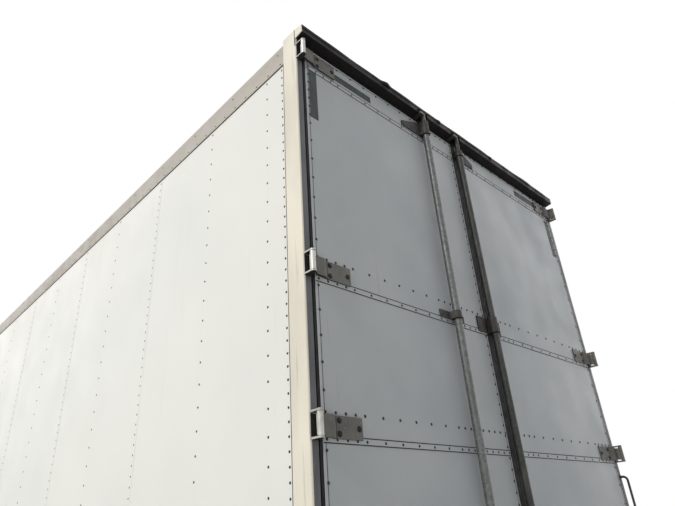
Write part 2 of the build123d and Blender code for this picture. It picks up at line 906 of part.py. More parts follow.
pad_half = 50
pad_foot = spring_surface(half_spring - pad_half) + seat_gap
with BuildPart() as tandem:
    rail_x = (frame_rail_x - frame_rail_width / 2, frame_rail_x + frame_rail_width / 2)
    block(rail_x, (frame_back, frame_front_end), (frame_rail_foot, body_rail_foot))
    for hanger_y in hanger_ys:
        for inner_x in (frame_rail_x - hanger_inside - hanger_plate, frame_rail_x + hanger_inside):
            hanger_outline = (
                (hanger_y - 110, frame_rail_foot),
                (hanger_y - 55, hanger_foot),
                (hanger_y + 55, hanger_foot),
                (hanger_y + 110, frame_rail_foot),
            )
            prism(hanger_outline, Plane.YZ.offset(inner_x), hanger_plate)
    for pad_y in (hanger_ys[0], hanger_ys[2]):
        block(
            (frame_rail_x - hanger_inside, frame_rail_x + hanger_inside),
            (pad_y - pad_half, pad_y + pad_half),
            (pad_foot, pad_foot + 40),
        )
    mirror(about=Plane.YZ)
    for beam_y in (frame_back + 60, *hanger_ys, frame_front_end - 60):
        block(
            (-rail_x[0], rail_x[0]),
            (beam_y - 45, beam_y + 45),
            (frame_rail_foot + 20, body_rail_foot - 20),
        )
finish(tandem, "tandem_frame")

# Leaf springs, arched over the axles, with the rocker between them
rocker_half = 150
rocker_middle = 45
rocker_belly = 60
rocker_crown = 90
rocker_tip = 20
rocker_relief = 6
rocker_pin_radius = 20
tip_lap = 40
with BuildPart() as springs:
    for axle_y, reach_back, reach_front in (
        (rear_axle_y, half_spring + tip_lap, tandem_middle - rear_axle_y - rocker_half + tip_lap),
        (front_axle_y, front_axle_y - tandem_middle - rocker_half + tip_lap, half_spring + tip_lap),
    ):
        for leaf in range(spring_leaves):
            share = 1 - 0.28 * leaf
            ends = (-reach_back * share, 0, reach_front * share)
            upper = [(axle_y + y, spring_surface(y, leaf * leaf_thickness)) for y in ends]
            lower = [(axle_y + y, spring_surface(y, (leaf + 1) * leaf_thickness)) for y in ends]
            with BuildSketch(Plane.YZ.offset(frame_rail_x - spring_width / 2)):
                with BuildLine():
                    ThreePointArc(*upper)
                    ThreePointArc(*lower)
                    Line(upper[0], lower[0])
                    Line(upper[2], lower[2])
                make_face()
            extrude(amount=spring_width)
    mirror(about=Plane.YZ)
finish(springs, "leaf_springs")

# Equalisers: rockers on the middle hangers, their arms over the spring tips
arm_end = rocker_half + tip_lap
arm_start = rocker_half - tip_lap - rocker_relief
arm_foot = spring_surface(axle_spread / 2 - arm_end) + seat_gap
rocker_half_outline = (
    (rocker_middle, arm_foot - rocker_belly),
    (arm_start, arm_foot - 2 * rocker_relief),
    (arm_start, arm_foot),
    (arm_end, arm_foot),
    (arm_end, arm_foot + rocker_tip),
    (rocker_middle, arm_foot + rocker_crown),
)
rocker_outline = [
    *[(tandem_middle + y, z) for y, z in rocker_half_outline],
    *[(tandem_middle - y, z) for y, z in reversed(rocker_half_outline)],
]
with BuildPart() as rockers:
    prism(rocker_outline, Plane.YZ.offset(frame_rail_x - spring_width / 2), spring_width)
    rocker_pin = arm_foot + rocker_crown / 3
    rod(
        (frame_rail_x - hanger_inside, tandem_middle, rocker_pin),
        (frame_rail_x + hanger_inside, tandem_middle, rocker_pin),
        rocker_pin_radius,
    )
    mirror(about=Plane.YZ)
finish(rockers, "equalisers")

# Axles: tube, spindles, spring seats and brake backing plates
wheel_x = track / 2
drum_inner_x = wheel_x - dual_spacing / 2 - rim_width / 2 - 40
spindle_end = wheel_x + 90
seat_half = 75
seat_top = spring_surface(seat_half, spring_leaves * leaf_thickness)
drum_gap = 5
backing_thickness = 11
with BuildPart() as axles:
    for axle_y in (rear_axle_y, front_axle_y):
        backing = drum_inner_x - drum_gap - backing_thickness
        rod((-backing, axle_y, axle_z), (backing, axle_y, axle_z), axle_radius)
        for hand in (-1, 1):
            rod(
                (hand * backing, axle_y, axle_z),
                (hand * (drum_inner_x - drum_gap), axle_y, axle_z),
                drum_radius - 6,
            )
            rod((hand * backing, axle_y, axle_z), (hand * spindle_end, axle_y, axle_z), spindle_radius)
            block(
                span(hand * (frame_rail_x - seat_half), hand * (frame_rail_x + seat_half)),
                (axle_y - seat_half, axle_y + seat_half),
                (axle_z, seat_top),
            )
finish(axles, "axles")

# Brake chambers on the axle tubes, with their push rods
chamber_radius = 82
chamber_x = 330
chamber_back = 150
chamber_inner = 70
chamber_outer = 90
camshaft_radius = 14
chamber_bracket = 50
with BuildPart() as chambers:
    for axle_y in (rear_axle_y, front_axle_y):
        chamber_y = axle_y - chamber_back
        block(
            (chamber_x - chamber_bracket, chamber_x + chamber_bracket),
            (chamber_y, axle_y - axle_radius - seat_gap),
            (axle_z - camshaft_radius, axle_z + camshaft_radius),
        )
        shaft_start = (chamber_x + chamber_outer, chamber_y, axle_z)
        rod((chamber_x - chamber_inner, chamber_y, axle_z), shaft_start, chamber_radius)
        rod(shaft_start, (backing, chamber_y, axle_z), camshaft_radius)
    mirror(about=Plane.YZ)
finish(chambers, "brake_chambers")

# Landing gear: two legs with feet on the ground
with BuildPart() as legs:
    leg_top = crossmember_foot
    half = leg_housing / 2
    inner_half = leg_inner / 2
    y_limits = (landing_y - half, landing_y + half)
    block((landing_leg_x - half, landing_leg_x + half), y_limits, (leg_housing_foot, leg_top))
    block(
        (landing_leg_x - inner_half, landing_leg_x + inner_half),
        (landing_y - inner_half, landing_y + inner_half),
        (90, leg_housing_foot),
    )
    foot_half = foot_size / 2
    foot_outline = (
        (landing_y - foot_half, 0),
        (landing_y + foot_half, 0),
        (landing_y + foot_half, foot_thickness),
        (landing_y + inner_half, 90),
        (landing_y - inner_half, 90),
        (landing_y - foot_half, foot_thickness),
    )
    prism(foot_outline, Plane.YZ.offset(landing_leg_x - foot_half), foot_size)
    block(
        (landing_leg_x - 170, landing_leg_x + 170),
        (landing_y - half - 10, landing_y - half),
        (leg_top - 330, leg_top),
    )
    mirror(about=Plane.YZ)
finish(legs, "landing_legs")

# Bracing between and behind the legs, cross shaft, gearbox and folding crank
crank_z = crossmember_foot - 250
outer_x = landing_leg_x + leg_housing / 2
inner_x = landing_leg_x - leg_housing / 2
brace = 50
brace_low = leg_housing_foot + 90
strut_run = 900
strut_beam = round((landing_y - strut_run - beam_first) / crossmember_pitch)
strut_y = beam_first + crossmember_pitch * strut_beam
leg_back = landing_y - leg_housing / 2
strut_outline = (
    (leg_back, brace_low),
    (leg_back, brace_low + 80),
    (strut_y + crossmember_width / 2, crossmember_foot),
    (strut_y - crossmember_width / 2, crossmember_foot),
)
with BuildPart() as bracing:
    block(
        (-inner_x, inner_x),
        (landing_y - brace / 2, landing_y + brace / 2),
        (brace_low - brace / 2, brace_low + brace / 2),
    )
    for hand in (-1, 1):
        strut_x = hand * landing_leg_x - brace / 2
        prism(strut_outline, Plane.YZ.offset(strut_x), brace)
    rod((-inner_x, landing_y, crank_z), (inner_x, landing_y, crank_z), 16)
    block(
        (-outer_x - 60, -outer_x),
        (landing_y - 55, landing_y + 55),
        (crank_z - 110, crank_z + 60),
    )
    rod((-outer_x - 60, landing_y, crank_z), (-outer_x - 150, landing_y, crank_z), 13)
    block(
        (-outer_x - 151, -outer_x - 139),
        (landing_y - 15, landing_y + 15),
        (crank_z - 300, crank_z + 15),
    )
    rod((-outer_x - 139, landing_y, crank_z - 285), (-outer_x - 30, landing_y, crank_z - 285), 13)
finish(bracing, "landing_bracing")

# Rear bumper guard below the sill
guard_half = 1220
guard_low = 508
guard_size = 100
guard_post_x = 450
guard_brace_beam = beam_first + crossmember_pitch
guard_brace_outline = (
    (rear_y + guard_size - 4, guard_low + guard_size + 12),
    (rear_y + guard_size - 4, guard_low + guard_size + 90),
    (guard_brace_beam - crossmember_width / 2, crossmember_foot),
    (guard_brace_beam + crossmember_width / 2, crossmember_foot),
)
with BuildPart() as guard:
    block((-guard_half, guard_half), (rear_y, rear_y + guard_size), (guard_low, guard_low + guard_size))
    for hand in (-1, 1):
        block(
            (hand * guard_post_x - 38, hand * guard_post_x + 38),
            (rear_y, rear_y + guard_size - 4),
            (guard_low + guard_size, sill_foot),
        )
        prism(guard_brace_outline, Plane.YZ.offset(hand * guard_post_x - 25), 50)
finish(guard, "rear_bumper")

# Mud flaps behind the rear tyres, on rods from the tandem frame
flap_y = rear_axle_y - tyre_radius - 130
flap_half = 305
flap_top = 1010
flap_foot = 260
with BuildPart() as flaps:
    block(
        (wheel_x - flap_half, wheel_x + flap_half),
        (flap_y - 8, flap_y),
        (flap_foot, flap_top),
    )
    block(
        (frame_rail_x + frame_rail_width / 2, wheel_x + flap_half),
        (flap_y, flap_y + 36),
        (flap_top - 50, flap_top),
    )
    mirror(about=Plane.YZ)
finish(flaps, "mud_flaps")

# Air tank slung under the floor ahead of the tandem
tank_radius = 120
tank_half = 380
tank_beam = 10
tank_y = beam_first + crossmember_pitch * tank_beam
tank_z = crossmember_foot - tank_radius - 14
with BuildPart() as tank:
    rod((-tank_half, tank_y, tank_z), (tank_half, tank_y, tank_z), tank_radius)
    chamfer(tank.edges().filter_by(GeomType.CIRCLE), 40)
    for hand in (-1, 1):
        block(
            (hand * 240 - 20, hand * 240 + 20),
            (tank_y - 30, tank_y + 30),
            (tank_z + tank_radius - 12, crossmember_foot),
        )
finish(tank, "air_tank")

# Air and electric couplings on the front
coupling_z = 1225
with BuildPart() as couplings:
    block((-230, 230), (front_y, front_y + 6), (coupling_z - 60, coupling_z + 60))
    for coupling_x in (-150, 150):
        rod((coupling_x, front_y + 6, coupling_z), (coupling_x, front_y + 60, coupling_z), 18)
        block(
            (coupling_x - 30, coupling_x + 30),
            (front_y + 50, front_y + front_reach),
            (coupling_z - 42, coupling_z + 30),
        )
    rod((0, front_y + 6, coupling_z), (0, front_y + front_reach, coupling_z), 31)
finish(couplings, "front_couplings")

# Twin wheels. x is measured outwards from the middle between the two tyres.
tyre_half_outline = (
    # half width, radius
    (bead_width / 2, bead_radius),
    (tyre_width / 2, tyre_belly_radius),
    (tread_width / 2, tyre_radius),
)
tyre_outline = [*tyre_half_outline, *[(-x, r) for x, r in reversed(tyre_half_outline)]]
rim_edge = (dual_spacing + rim_width) / 2
rim_inside = rim_radius - rim_thickness
bore = spindle_radius + spindle_clearance
drum_face = drum_inner_x - wheel_x
wheel_outline = (
    # x outwards, radius
    (-rim_edge, rim_radius),
    (rim_edge, rim_radius),
    (rim_edge, rim_inside),
    (95, rim_inside),
    (8, hub_flange_radius),
    (8, hub_barrel_radius),
    (150, hub_cap_radius),
    (150, 0),
    (95, 0),
    (95, bore),
    (drum_face, bore),
    (drum_face, drum_radius),
    (-80, drum_radius),
    (-120, rim_inside),
    (-rim_edge, rim_inside),
)
wheels = (
    # name, hand, axle y
    ("rear_left", -1, rear_axle_y),
    ("rear_right", 1, rear_axle_y),
    ("front_left", -1, front_axle_y),
    ("front_right", 1, front_axle_y),
)
for name, hand, axle_y in wheels:
    spin = Axis((0, axle_y, axle_z), (1, 0, 0))
    plane = Plane(origin=(hand * wheel_x, axle_y, axle_z), x_dir=(hand, 0, 0), z_dir=(0, -hand, 0))
    with BuildPart() as tyres:
        for middle in (-dual_spacing / 2, dual_spacing / 2):
            with BuildSketch(plane):
                with BuildLine():
                    Polyline(*[(middle + x, r) for x, r in tyre_outline], close=True)
                make_face()
            revolve(axis=spin)
    finish(tyres, f"tyres_{name}")
    floor_x = hand * (wheel_x + hand_hole_floor)
    disc = Plane(origin=(floor_x, axle_y, axle_z), x_dir=(0, 1, 0), z_dir=(hand, 0, 0))
    with BuildPart() as wheel:
        with BuildSketch(plane):
            with BuildLine():
                Polyline(*wheel_outline, close=True)
            make_face()
        revolve(axis=spin)
        with BuildSketch(disc) as hand_hole_plan:
            with PolarLocations(hand_hole_ring, hand_holes):
                Circle(hand_hole_radius)
        extrude(hand_hole_plan.sketch, amount=rim_width, mode=Mode.SUBTRACT)
    finish(wheel, f"wheel_{name}")
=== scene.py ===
import math

import bmesh
import bpy
from mathutils import Matrix, Vector


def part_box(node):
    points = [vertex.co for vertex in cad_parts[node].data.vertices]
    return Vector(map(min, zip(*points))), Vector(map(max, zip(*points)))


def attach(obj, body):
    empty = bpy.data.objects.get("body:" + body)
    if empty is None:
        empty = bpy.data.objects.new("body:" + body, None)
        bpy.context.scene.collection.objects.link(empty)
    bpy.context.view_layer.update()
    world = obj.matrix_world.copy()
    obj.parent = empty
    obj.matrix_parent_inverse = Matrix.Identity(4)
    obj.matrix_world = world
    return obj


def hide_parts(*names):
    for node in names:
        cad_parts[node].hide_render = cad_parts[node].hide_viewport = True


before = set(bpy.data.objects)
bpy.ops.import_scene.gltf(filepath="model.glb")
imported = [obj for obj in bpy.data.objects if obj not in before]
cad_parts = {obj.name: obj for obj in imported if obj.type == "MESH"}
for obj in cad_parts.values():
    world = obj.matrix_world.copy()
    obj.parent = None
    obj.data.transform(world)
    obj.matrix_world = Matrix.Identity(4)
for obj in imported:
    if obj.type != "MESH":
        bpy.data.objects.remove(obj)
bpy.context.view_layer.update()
scene = bpy.context.scene

# Places are in metres, x to the right, y forward, z up. Sizes of small parts are in millimetres.
MM = 0.001
side, _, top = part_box("corner_posts")[1]
rear, frame_front = (corner.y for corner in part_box("rear_sill"))
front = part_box("front_bands")[1].y
wall_face, wall_front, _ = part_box("side_wall_right")[1]
rail_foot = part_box("top_rails")[0].z
rail_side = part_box("top_rails")[1].x
floor_rail_foot, floor_rail_head = (corner.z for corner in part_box("bottom_rails"))
_, door_face, door_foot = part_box("door_panel_left")[0]
door_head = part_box("door_panel_left")[1].z
roof_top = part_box("roof")[1].z

VAN = "van_body"
WHEELS = ("rear_left", "rear_right", "front_left", "front_right")
LEFT, RIGHT = -1, 1
SIDES = (("left", LEFT), ("right", RIGHT))
REARWARD, FORWARD, UP, DOWN = (0, -1, 0), (0, 1, 0), (0, 0, 1), (0, 0, -1)
# Away from the middle, on the right side
OUT = (1, 0, 0)
# How far a head's foot or a strip's back is let into the face it stands on
SUNK = 0.3 * MM


# Materials

# How patches are stretched: not at all, into runs down the side, along the trailer, upright by
# a little or by more, or across the trailer
EVEN = (1, 1, 1)
RUNS = (1, 1, 0.06)
ALONG = (1, 0.05, 1)
UPRIGHT = (1, 1, 0.4)
TALL = (1, 1, 0.3)
CROSSWISE = (0.4, 1, 1)


def linear(code):
    """An sRGB hex colour as linear red, green and blue, with full cover."""
    parts = [int(code[i : i + 2], 16) / 255 for i in (1, 3, 5)]
    return (*[c / 12.92 if c <= 0.04045 else ((c + 0.055) / 1.055) ** 2.4 for c in parts], 1)


def add(tree, kind, inputs=None, **settings):
    """Adds a node. settings are its properties; inputs are values, hex colours or sockets."""
    node = tree.nodes.new(kind)
    for label, value in settings.items():
        setattr(node, label, value)
    for label, value in (inputs or {}).items():
        if isinstance(value, bpy.types.NodeSocket):
            tree.links.new(value, node.inputs[label])
        elif isinstance(value, str) and value[:1] == "#":
            node.inputs[label].default_value = linear(value)
        else:
            node.inputs[label].default_value = value
    return node


def calc(tree, operation, *values):
    """One step of arithmetic on sockets or numbers."""
    return add(tree, "ShaderNodeMath", dict(enumerate(values)), operation=operation).outputs[0]


def remap(tree, value, **spans):
    """A value moved from one span to another; a span left out is 0 to 1."""
    inputs = {label.replace("_", " "): limit for label, limit in spans.items()}
    return add(tree, "ShaderNodeMapRange", {"Value": value, **inputs}).outputs[0]


def blend(tree, share, under, over):
    """One colour over another by a share from 0 to 1."""
    mixed = add(tree, "ShaderNodeMix", {0: share, 6: under, 7: over}, data_type="RGBA")
    return mixed.outputs[2]


def parted(tree, vector):
    """A vector's x, y and z."""
    return add(tree, "ShaderNodeSeparateXYZ", {"Vector": vector}).outputs


def start(name, **single):
    """A new material with its shader's single numbers, and the place on the object."""
    material = bpy.data.materials.new(name)
    material.use_nodes = True
    tree = material.node_tree
    shader = tree.nodes["Principled BSDF"]
    for label, value in single.items():
        shader.inputs[label.replace("_", " ")].default_value = value
    return material, tree, shader, add(tree, "ShaderNodeTexCoord").outputs["Object"]


def blotches(tree, place, size, low, high, stretch=EVEN):
    """Cloudy patches of a size in millimetres, as a mask from 0 to 1."""
    turned = add(tree, "ShaderNodeMapping", {"Vector": place, "Scale": stretch}).outputs[0]
    cloud = add(
        tree, "ShaderNodeTexNoise", {"Vector": turned, "Scale": 1 / (size * MM), "Detail": 4}
    )
    return remap(tree, cloud.outputs[0], From_Min=low, From_Max=high)


def paint(tree, shader, place, base, *layers):
    """Layers over a base. A layer: colour, patch size, where its mask starts and ends, stretch."""
    colour = base
    for tone, *patches in layers:
        colour = blend(tree, blotches(tree, place, *patches), colour, tone)
    if isinstance(colour, str):
        shader.inputs["Base Color"].default_value = linear(colour)
    else:
        tree.links.new(colour, shader.inputs["Base Color"])
    return colour


def roughen(tree, shader, place, size, low, high):
    """Roughness between two values, in patches of a size in millimetres."""
    patches = blotches(tree, place, size, 0.35, 0.65)
    tree.links.new(remap(tree, patches, To_Min=low, To_Max=high), shader.inputs["Roughness"])


def relief(tree, shader, place, bumps):
    """Surface relief. A bump is its feature size and height, in millimetres, and stretch."""
    inputs = {}
    for size, height, *stretch in bumps:
        mask = blotches(tree, place, size, 0.25, 0.75, *stretch)
        inputs |= {"Height": mask, "Distance": height * MM, "Strength": 1.0}
        inputs["Normal"] = add(tree, "ShaderNodeBump", inputs).outputs[0]
    if bumps:
        tree.links.new(inputs["Normal"], shader.inputs["Normal"])


def finish(name, base, rough, bumps, *layers, **single):
    """A weathered finish: painted layers, patchy roughness and relief."""
    material, tree, shader, place = start(name, **single)
    paint(tree, shader, place, base, *layers)
    roughen(tree, shader, place, *rough)
    relief(tree, shader, place, bumps)
    return material


# Glass fibre faced plywood of the doors: gel coat, a little duller, with a fine orange peel; its
# white is greyed as painted shade
door_skin = finish(
    "gelcoat_faced_plywood", "#bbbfc1", (220, 0.38, 0.52), ((420, 1.0), (9, 0.05)),
    ("#afb4b8", 620, 0.4, 0.66), ("#aeada8", 40, 0.64, 0.9, RUNS), ("#a09c94", 9, 0.78, 0.95, RUNS),
    Specular_IOR_Level=0.28,
)
# Cream enamel of the rear sill: chalked, knocked to bare rust by loading docks
sill_enamel = finish(
    "dock-worn_cream_enamel", "#c3bdb0", (90, 0.45, 0.64), ((12, 0.2),),
    ("#aea79a", 200, 0.42, 0.66, CROSSWISE), ("#8d8375", 24, 0.6, 0.82, RUNS),
    ("#6b4b34", 16, 0.68, 0.74, CROSSWISE),
)
# Extruded aluminium rails: weathered to a dull warm grey, with fine die lines along them
rail_aluminium = finish(
    "weathered_extruded_aluminium", "#aca69c", (90, 0.42, 0.58), ((4, 0.05, ALONG),),
    ("#9c958a", 300, 0.42, 0.66, (1, 0.3, 1)), ("#b5afa6", 2.5, 0.4, 0.8, ALONG),
    ("#857d72", 26, 0.7, 0.84, (1, 0.6, 0.5)), Metallic=0.35,
)
# Mill-finish aluminium roof sheet: pale, dull, rain-spotted
roof_aluminium = finish(
    "mill_finish_aluminium_sheet", "#bfc1c1", (160, 0.4, 0.62), ((380, 2.5),),
    ("#b2b4b4", 700, 0.36, 0.7), ("#99978f", 60, 0.64, 0.8), ("#b8baba", 4, 0.5, 0.8, (0.05, 1, 1)),
    Metallic=0.55,
)
# Forged bearing plates and keepers: black-grey oxide with rust in the corners; the same finish
# serves as painted shade down the folds of the hinge leaves
forged_steel_and_fold_shade = finish(
    "oxidised_forged_steel_and_painted_shade", "#42403d", (25, 0.5, 0.7), ((4, 0.2),), ("#343230", 45, 0.4, 0.65),
    ("#5e4d3b", 14, 0.62, 0.76), ("#66645e", 5, 0.64, 0.77), Metallic=0.4,
)
# Satin black enamel of the rear header: brown road film and rubbed patches
header_enamel = finish(
    "road_filmed_black_enamel", "#110f0f", (50, 0.5, 0.7), ((30, 0.4), (5, 0.08)),
    ("#1a1615", 160, 0.42, 0.66, CROSSWISE), ("#2b221a", 18, 0.66, 0.84, (0.5, 1, 1)),
    ("#0f0e0e", 60, 0.55, 0.75), Specular_IOR_Level=0.22,
)
# Black chassis enamel under the floor: dusted with pale road dirt, rust where it is scratched
chassis_enamel = finish(
    "dusty_black_chassis_enamel", "#34322f", (80, 0.55, 0.8), ((7, 0.15),),
    ("#4f4a42", 220, 0.42, 0.64), ("#5f574b", 40, 0.56, 0.74), ("#6b4a32", 14, 0.68, 0.76),
)
# EPDM door seal: extruded rubber, matt, greyed by weather; the same black also serves as painted
# shade behind the hinge butts and in the slide rails' pin holes
rubber_and_painted_shade = finish(
    "weathered_epdm_rubber_and_painted_shade", "#1a1b1b", (30, 0.62, 0.82), ((3, 0.05),), ("#262727", 60, 0.45, 0.65),
    ("#33332f", 12, 0.66, 0.8, RUNS), Specular_IOR_Level=0.3,
)
# Tyre compound: matt black, brown dust in its texture
tyre_compound = finish(
    "dusty_tyre_rubber", "#232323", (40, 0.66, 0.88), ((3, 0.12),), ("#2f2d2b", 90, 0.42, 0.62),
    ("#453f38", 16, 0.6, 0.8), Specular_IOR_Level=0.3,
)
# White wheel enamel: glossy once, now filmed with brake and road dust
wheel_enamel = finish(
    "dusty_white_wheel_enamel", "#c9c6be", (50, 0.34, 0.6), ((6, 0.08),),
    ("#aca598", 110, 0.4, 0.64), ("#8a7c68", 30, 0.58, 0.78), ("#6d4f38", 10, 0.7, 0.78),
)
# Machined steel of pins, nuts and hubs: oil and grease film
greased_steel = finish(
    "greased_machined_steel", "#6b6964", (20, 0.28, 0.5), ((3, 0.05),), ("#3a3732", 30, 0.45, 0.65),
    ("#857d70", 8, 0.62, 0.75), Metallic=0.8,
)
# Aluminium rivet heads: dark grey, partly dirt round them and partly painted shade
rivet_dirt_and_shade_grey = finish(
    "rivet_heads_dirt_and_painted_shade", "#30302f", (12, 0.5, 0.7), (), ("#232322", 35, 0.42, 0.62),
    ("#4b4946", 9, 0.6, 0.75), Metallic=0.2,
)
# Bolt heads on the hinge leaves: near-black oxide, brown with rust at the rim
bolt_oxide = finish(
    "rusted_bolt_heads", "#1c1a18", (12, 0.55, 0.75), (), ("#141312", 20, 0.42, 0.62),
    ("#35281d", 6, 0.6, 0.75), Specular_IOR_Level=0.3,
)
# Butyl sealant in the joints: dark, gathers dirt; the same dark also serves as painted shade along
# the door strips' edges and under the top rail
sealant_and_shade_lines = finish(
    "dirty_butyl_sealant_and_painted_shade", "#2c2a27", (20, 0.7, 0.9), (), ("#3d3a35", 40, 0.45, 0.65),
)
# Bare galvanised sheet of kick plates, bolts and brackets
sheet_zinc = finish(
    "galvanised_sheet", "#a3a6a5", (60, 0.38, 0.55), ((8, 0.04),), ("#8f9392", 120, 0.42, 0.62),
    ("#b4b7b5", 14, 0.58, 0.7), ("#77664f", 14, 0.7, 0.8, RUNS), Metallic=0.6,
)
# Pale enamel on the pressed aluminium of the blank plate
plate_enamel = finish(
    "pale_plate_enamel", "#cccdc9", (40, 0.3, 0.42), (), ("#c0c0bb", 90, 0.4, 0.7),
    ("#a49d90", 12, 0.7, 0.9, RUNS),
)
# Red reflective tape: clear face over chalky red, dirt in runs
tape_red = finish(
    "red_reflective_sheeting", "#a3231f", (20, 0.22, 0.4), ((5, 0.05),),
    ("#8a1d1a", 60, 0.45, 0.65), ("#6e4038", 16, 0.68, 0.8, RUNS), Coat_Weight=0.5,
)
# Silver reflective tape: clear face over pale grey, dirt in runs
tape_white = finish(
    "silver_reflective_sheeting", "#d0d2d0", (20, 0.22, 0.4), ((5, 0.05),),
    ("#bcbdb9", 60, 0.45, 0.65), ("#9b948a", 16, 0.68, 0.8, RUNS), Coat_Weight=0.5,
)
# Silver reflective tape on the doors: its face dark grey as painted shade, and fine cells show
tape_grey = finish(
    "darkened_reflective_sheeting", "#3c4143", (20, 0.48, 0.62), ((6, 0.05),),
    ("#34383a", 80, 0.42, 0.62), ("#4c5253", 6, 0.6, 0.7), Specular_IOR_Level=0.3,
)


def galvanised(name, pale, dark, spangle):
    """Hot-dip zinc: flat crystals of a size in millimetres, each its own grey."""
    material, tree, shader, place = start(name, Metallic=0.4)
    cells = add(tree, "ShaderNodeTexVoronoi", {"Vector": place, "Scale": 1 / (spangle * MM)})
    tone = add(tree, "ShaderNodeSeparateColor", {"Color": cells.outputs["Color"]}).outputs
    dull = ("#4e4d47", 80, 0.52, 0.72, TALL)
    rust = ("#5f4c3a", 16, 0.7, 0.8, TALL)
    paint(tree, shader, place, blend(tree, tone[0], dark, pale), dull, rust)
    tree.links.new(remap(tree, tone[1], To_Min=0.36, To_Max=0.6), shader.inputs["Roughness"])
    relief(tree, shader, place, ((spangle / 2, 0.06),))
    return material


# Galvanised lock rods: coarse spangle, dulled to a mid grey; the right one darker brown-grey, in
# part painted shade
rod_zinc = galvanised("hot_dip_galvanised_tube", "#717572", "#595c5a", 11)
rod_zinc_worn_and_shaded = galvanised("worn_and_shaded_galvanised_tube", "#40403c", "#2e2e2b", 11)


def deck(name):
    """Laminated oak: staves 32 mm wide and 1.2 m long, oiled dark by use."""
    material, tree, shader, place = start(name)
    turned = add(tree, "ShaderNodeMapping", {"Vector": place, "Rotation": (0, 0, math.pi / 2)})
    brick = {
        "Vector": turned.outputs[0], "Color1": "#8a6a45", "Color2": "#735536", "Mortar": "#3c2c1d",
        "Scale": 1.0, "Mortar Size": 0.6 * MM, "Brick Width": 1200 * MM, "Row Height": 32 * MM,
    }
    staves = add(tree, "ShaderNodeTexBrick", brick).outputs
    grain = ("#5e452b", 26, 0.5, 0.7, (1, 0.06, 1))
    dust = ("#8d7c66", 260, 0.56, 0.72)
    paint(tree, shader, place, staves["Color"], grain, dust)
    tree.links.new(remap(tree, staves["Fac"], To_Min=0.52, To_Max=0.8), shader.inputs["Roughness"])
    relief(tree, shader, place, ((9, 0.2, ALONG),))
    return material


def lens(name, colour, deep):
    """Moulded acrylic lamp lens: clear gloss over a fine prism pattern."""
    gloss = {"Roughness": 0.12, "Coat_Weight": 1.0, "Coat_Roughness": 0.05}
    material, tree, shader, place = start(name, **gloss)
    prism = {"Vector": place, "Scale": 1 / (7 * MM), "Randomness": 0.0}
    depth = add(tree, "ShaderNodeTexVoronoi", prism).outputs["Distance"]
    mixed = blend(tree, remap(tree, depth, From_Max=0.7), colour, deep)
    tree.links.new(mixed, shader.inputs["Base Color"])
    bump = add(tree, "ShaderNodeBump", {"Height": depth, "Distance": 0.6 * MM})
    tree.links.new(bump.outputs[0], shader.inputs["Normal"])
    return material


deck_oak = deck("laminated_oak_floor")
lens_red = lens("red_acrylic_lens", "#b3160f", "#6d0906")
lens_amber = lens("amber_acrylic_lens", "#d57a12", "#8f4406")

# Tests of a place for the inner of two coats: its x, y or z as it is, or how far it is from 0
AS_IS, AWAY = "ADD", "ABSOLUTE"


def two_coats(name, outer, inner, tests, rough, bumps, **single):
    """Two coats on one piece, each a base and its layers. The inner one shows under every limit."""
    material, tree, shader, place = start(name, **single)
    parts = parted(tree, place)
    inside = None
    for axis, kind, limit in tests:
        under = calc(tree, "LESS_THAN", calc(tree, kind, parts[axis], 0.0), limit)
        inside = under if inside is None else calc(tree, "MULTIPLY", inside, under)
    shown = [paint(tree, shader, place, *coat) for coat in (outer, inner)]
    tree.links.new(blend(tree, inside, *shown), shader.inputs["Base Color"])
    roughen(tree, shader, place, *rough)
    relief(tree, shader, place, bumps)
    return material


def cover(material, make_share, tone):
    """Lays a tone over a coat, by the share that a function makes in its tree."""
    tree = material.node_tree
    base = tree.nodes["Principled BSDF"].inputs["Base Color"]
    tree.links.new(blend(tree, make_share(tree), base.links[0].from_socket, tone), base)


# Coats, each a base and its layers: painted sheet, bare plywood, cream enamel and where it is
# rubbed grey and darkened as painted shade, zinc on barrels, zinc on butts, zinc under road film
# and painted shade, dulled leaves
sheet_coat = (
    "#e5e4dd", ("#dfdfda", 900, 0.36, 0.72), ("#d6d5d0", 60, 0.64, 0.95, RUNS),
    ("#cbc8bf", 22, 0.78, 0.98, RUNS),
)
ply_face = (
    "#b1905f", ("#9c7a4a", 30, 0.42, 0.62, (1, 0.08, 1)), ("#c3a576", 9, 0.52, 0.68, ALONG),
    ("#6f5638", 120, 0.64, 0.76, (1, 0.3, 1)),
)
cream_coat = (
    "#e9e2d1", ("#d6cfbf", 240, 0.42, 0.66, TALL), ("#a69d8f", 22, 0.6, 0.84, RUNS),
    ("#7c5f45", 7, 0.73, 0.77, (1, 1, 0.5)),
)
grey_and_shaded_coat = (
    "#5f6064", ("#515256", 90, 0.42, 0.64, UPRIGHT), ("#827e76", 14, 0.62, 0.8, RUNS),
    ("#5d4a3b", 9, 0.7, 0.8, (1, 1, 0.5)),
)
barrel_coat = (
    "#c9c8c1", ("#aba79c", 40, 0.5, 0.7), ("#85725a", 10, 0.68, 0.8, UPRIGHT),
)
bright_coat = (
    "#b8b7b0", ("#9a968c", 40, 0.45, 0.68), ("#7d6a50", 10, 0.66, 0.78, UPRIGHT),
)
filmed_and_shaded_coat = (
    "#68645c", ("#565249", 40, 0.45, 0.68), ("#5b4531", 10, 0.66, 0.8, UPRIGHT),
)
leaf_coat = (
    "#5d5c58", ("#52504b", 70, 0.4, 0.65), ("#75726a", 12, 0.58, 0.72), ("#4c4238", 9, 0.68, 0.78),
)
sheet_rough, sheet_bumps = (300, 0.34, 0.48), ((650, 1.4),)
# Side wall: pre-painted aluminium sheet outside, plywood lining inside
side_wall = two_coats(
    "pre-painted_sheet_over_plywood", sheet_coat, ply_face, ((0, AWAY, wall_face - 19 * MM),),
    sheet_rough, sheet_bumps,
)
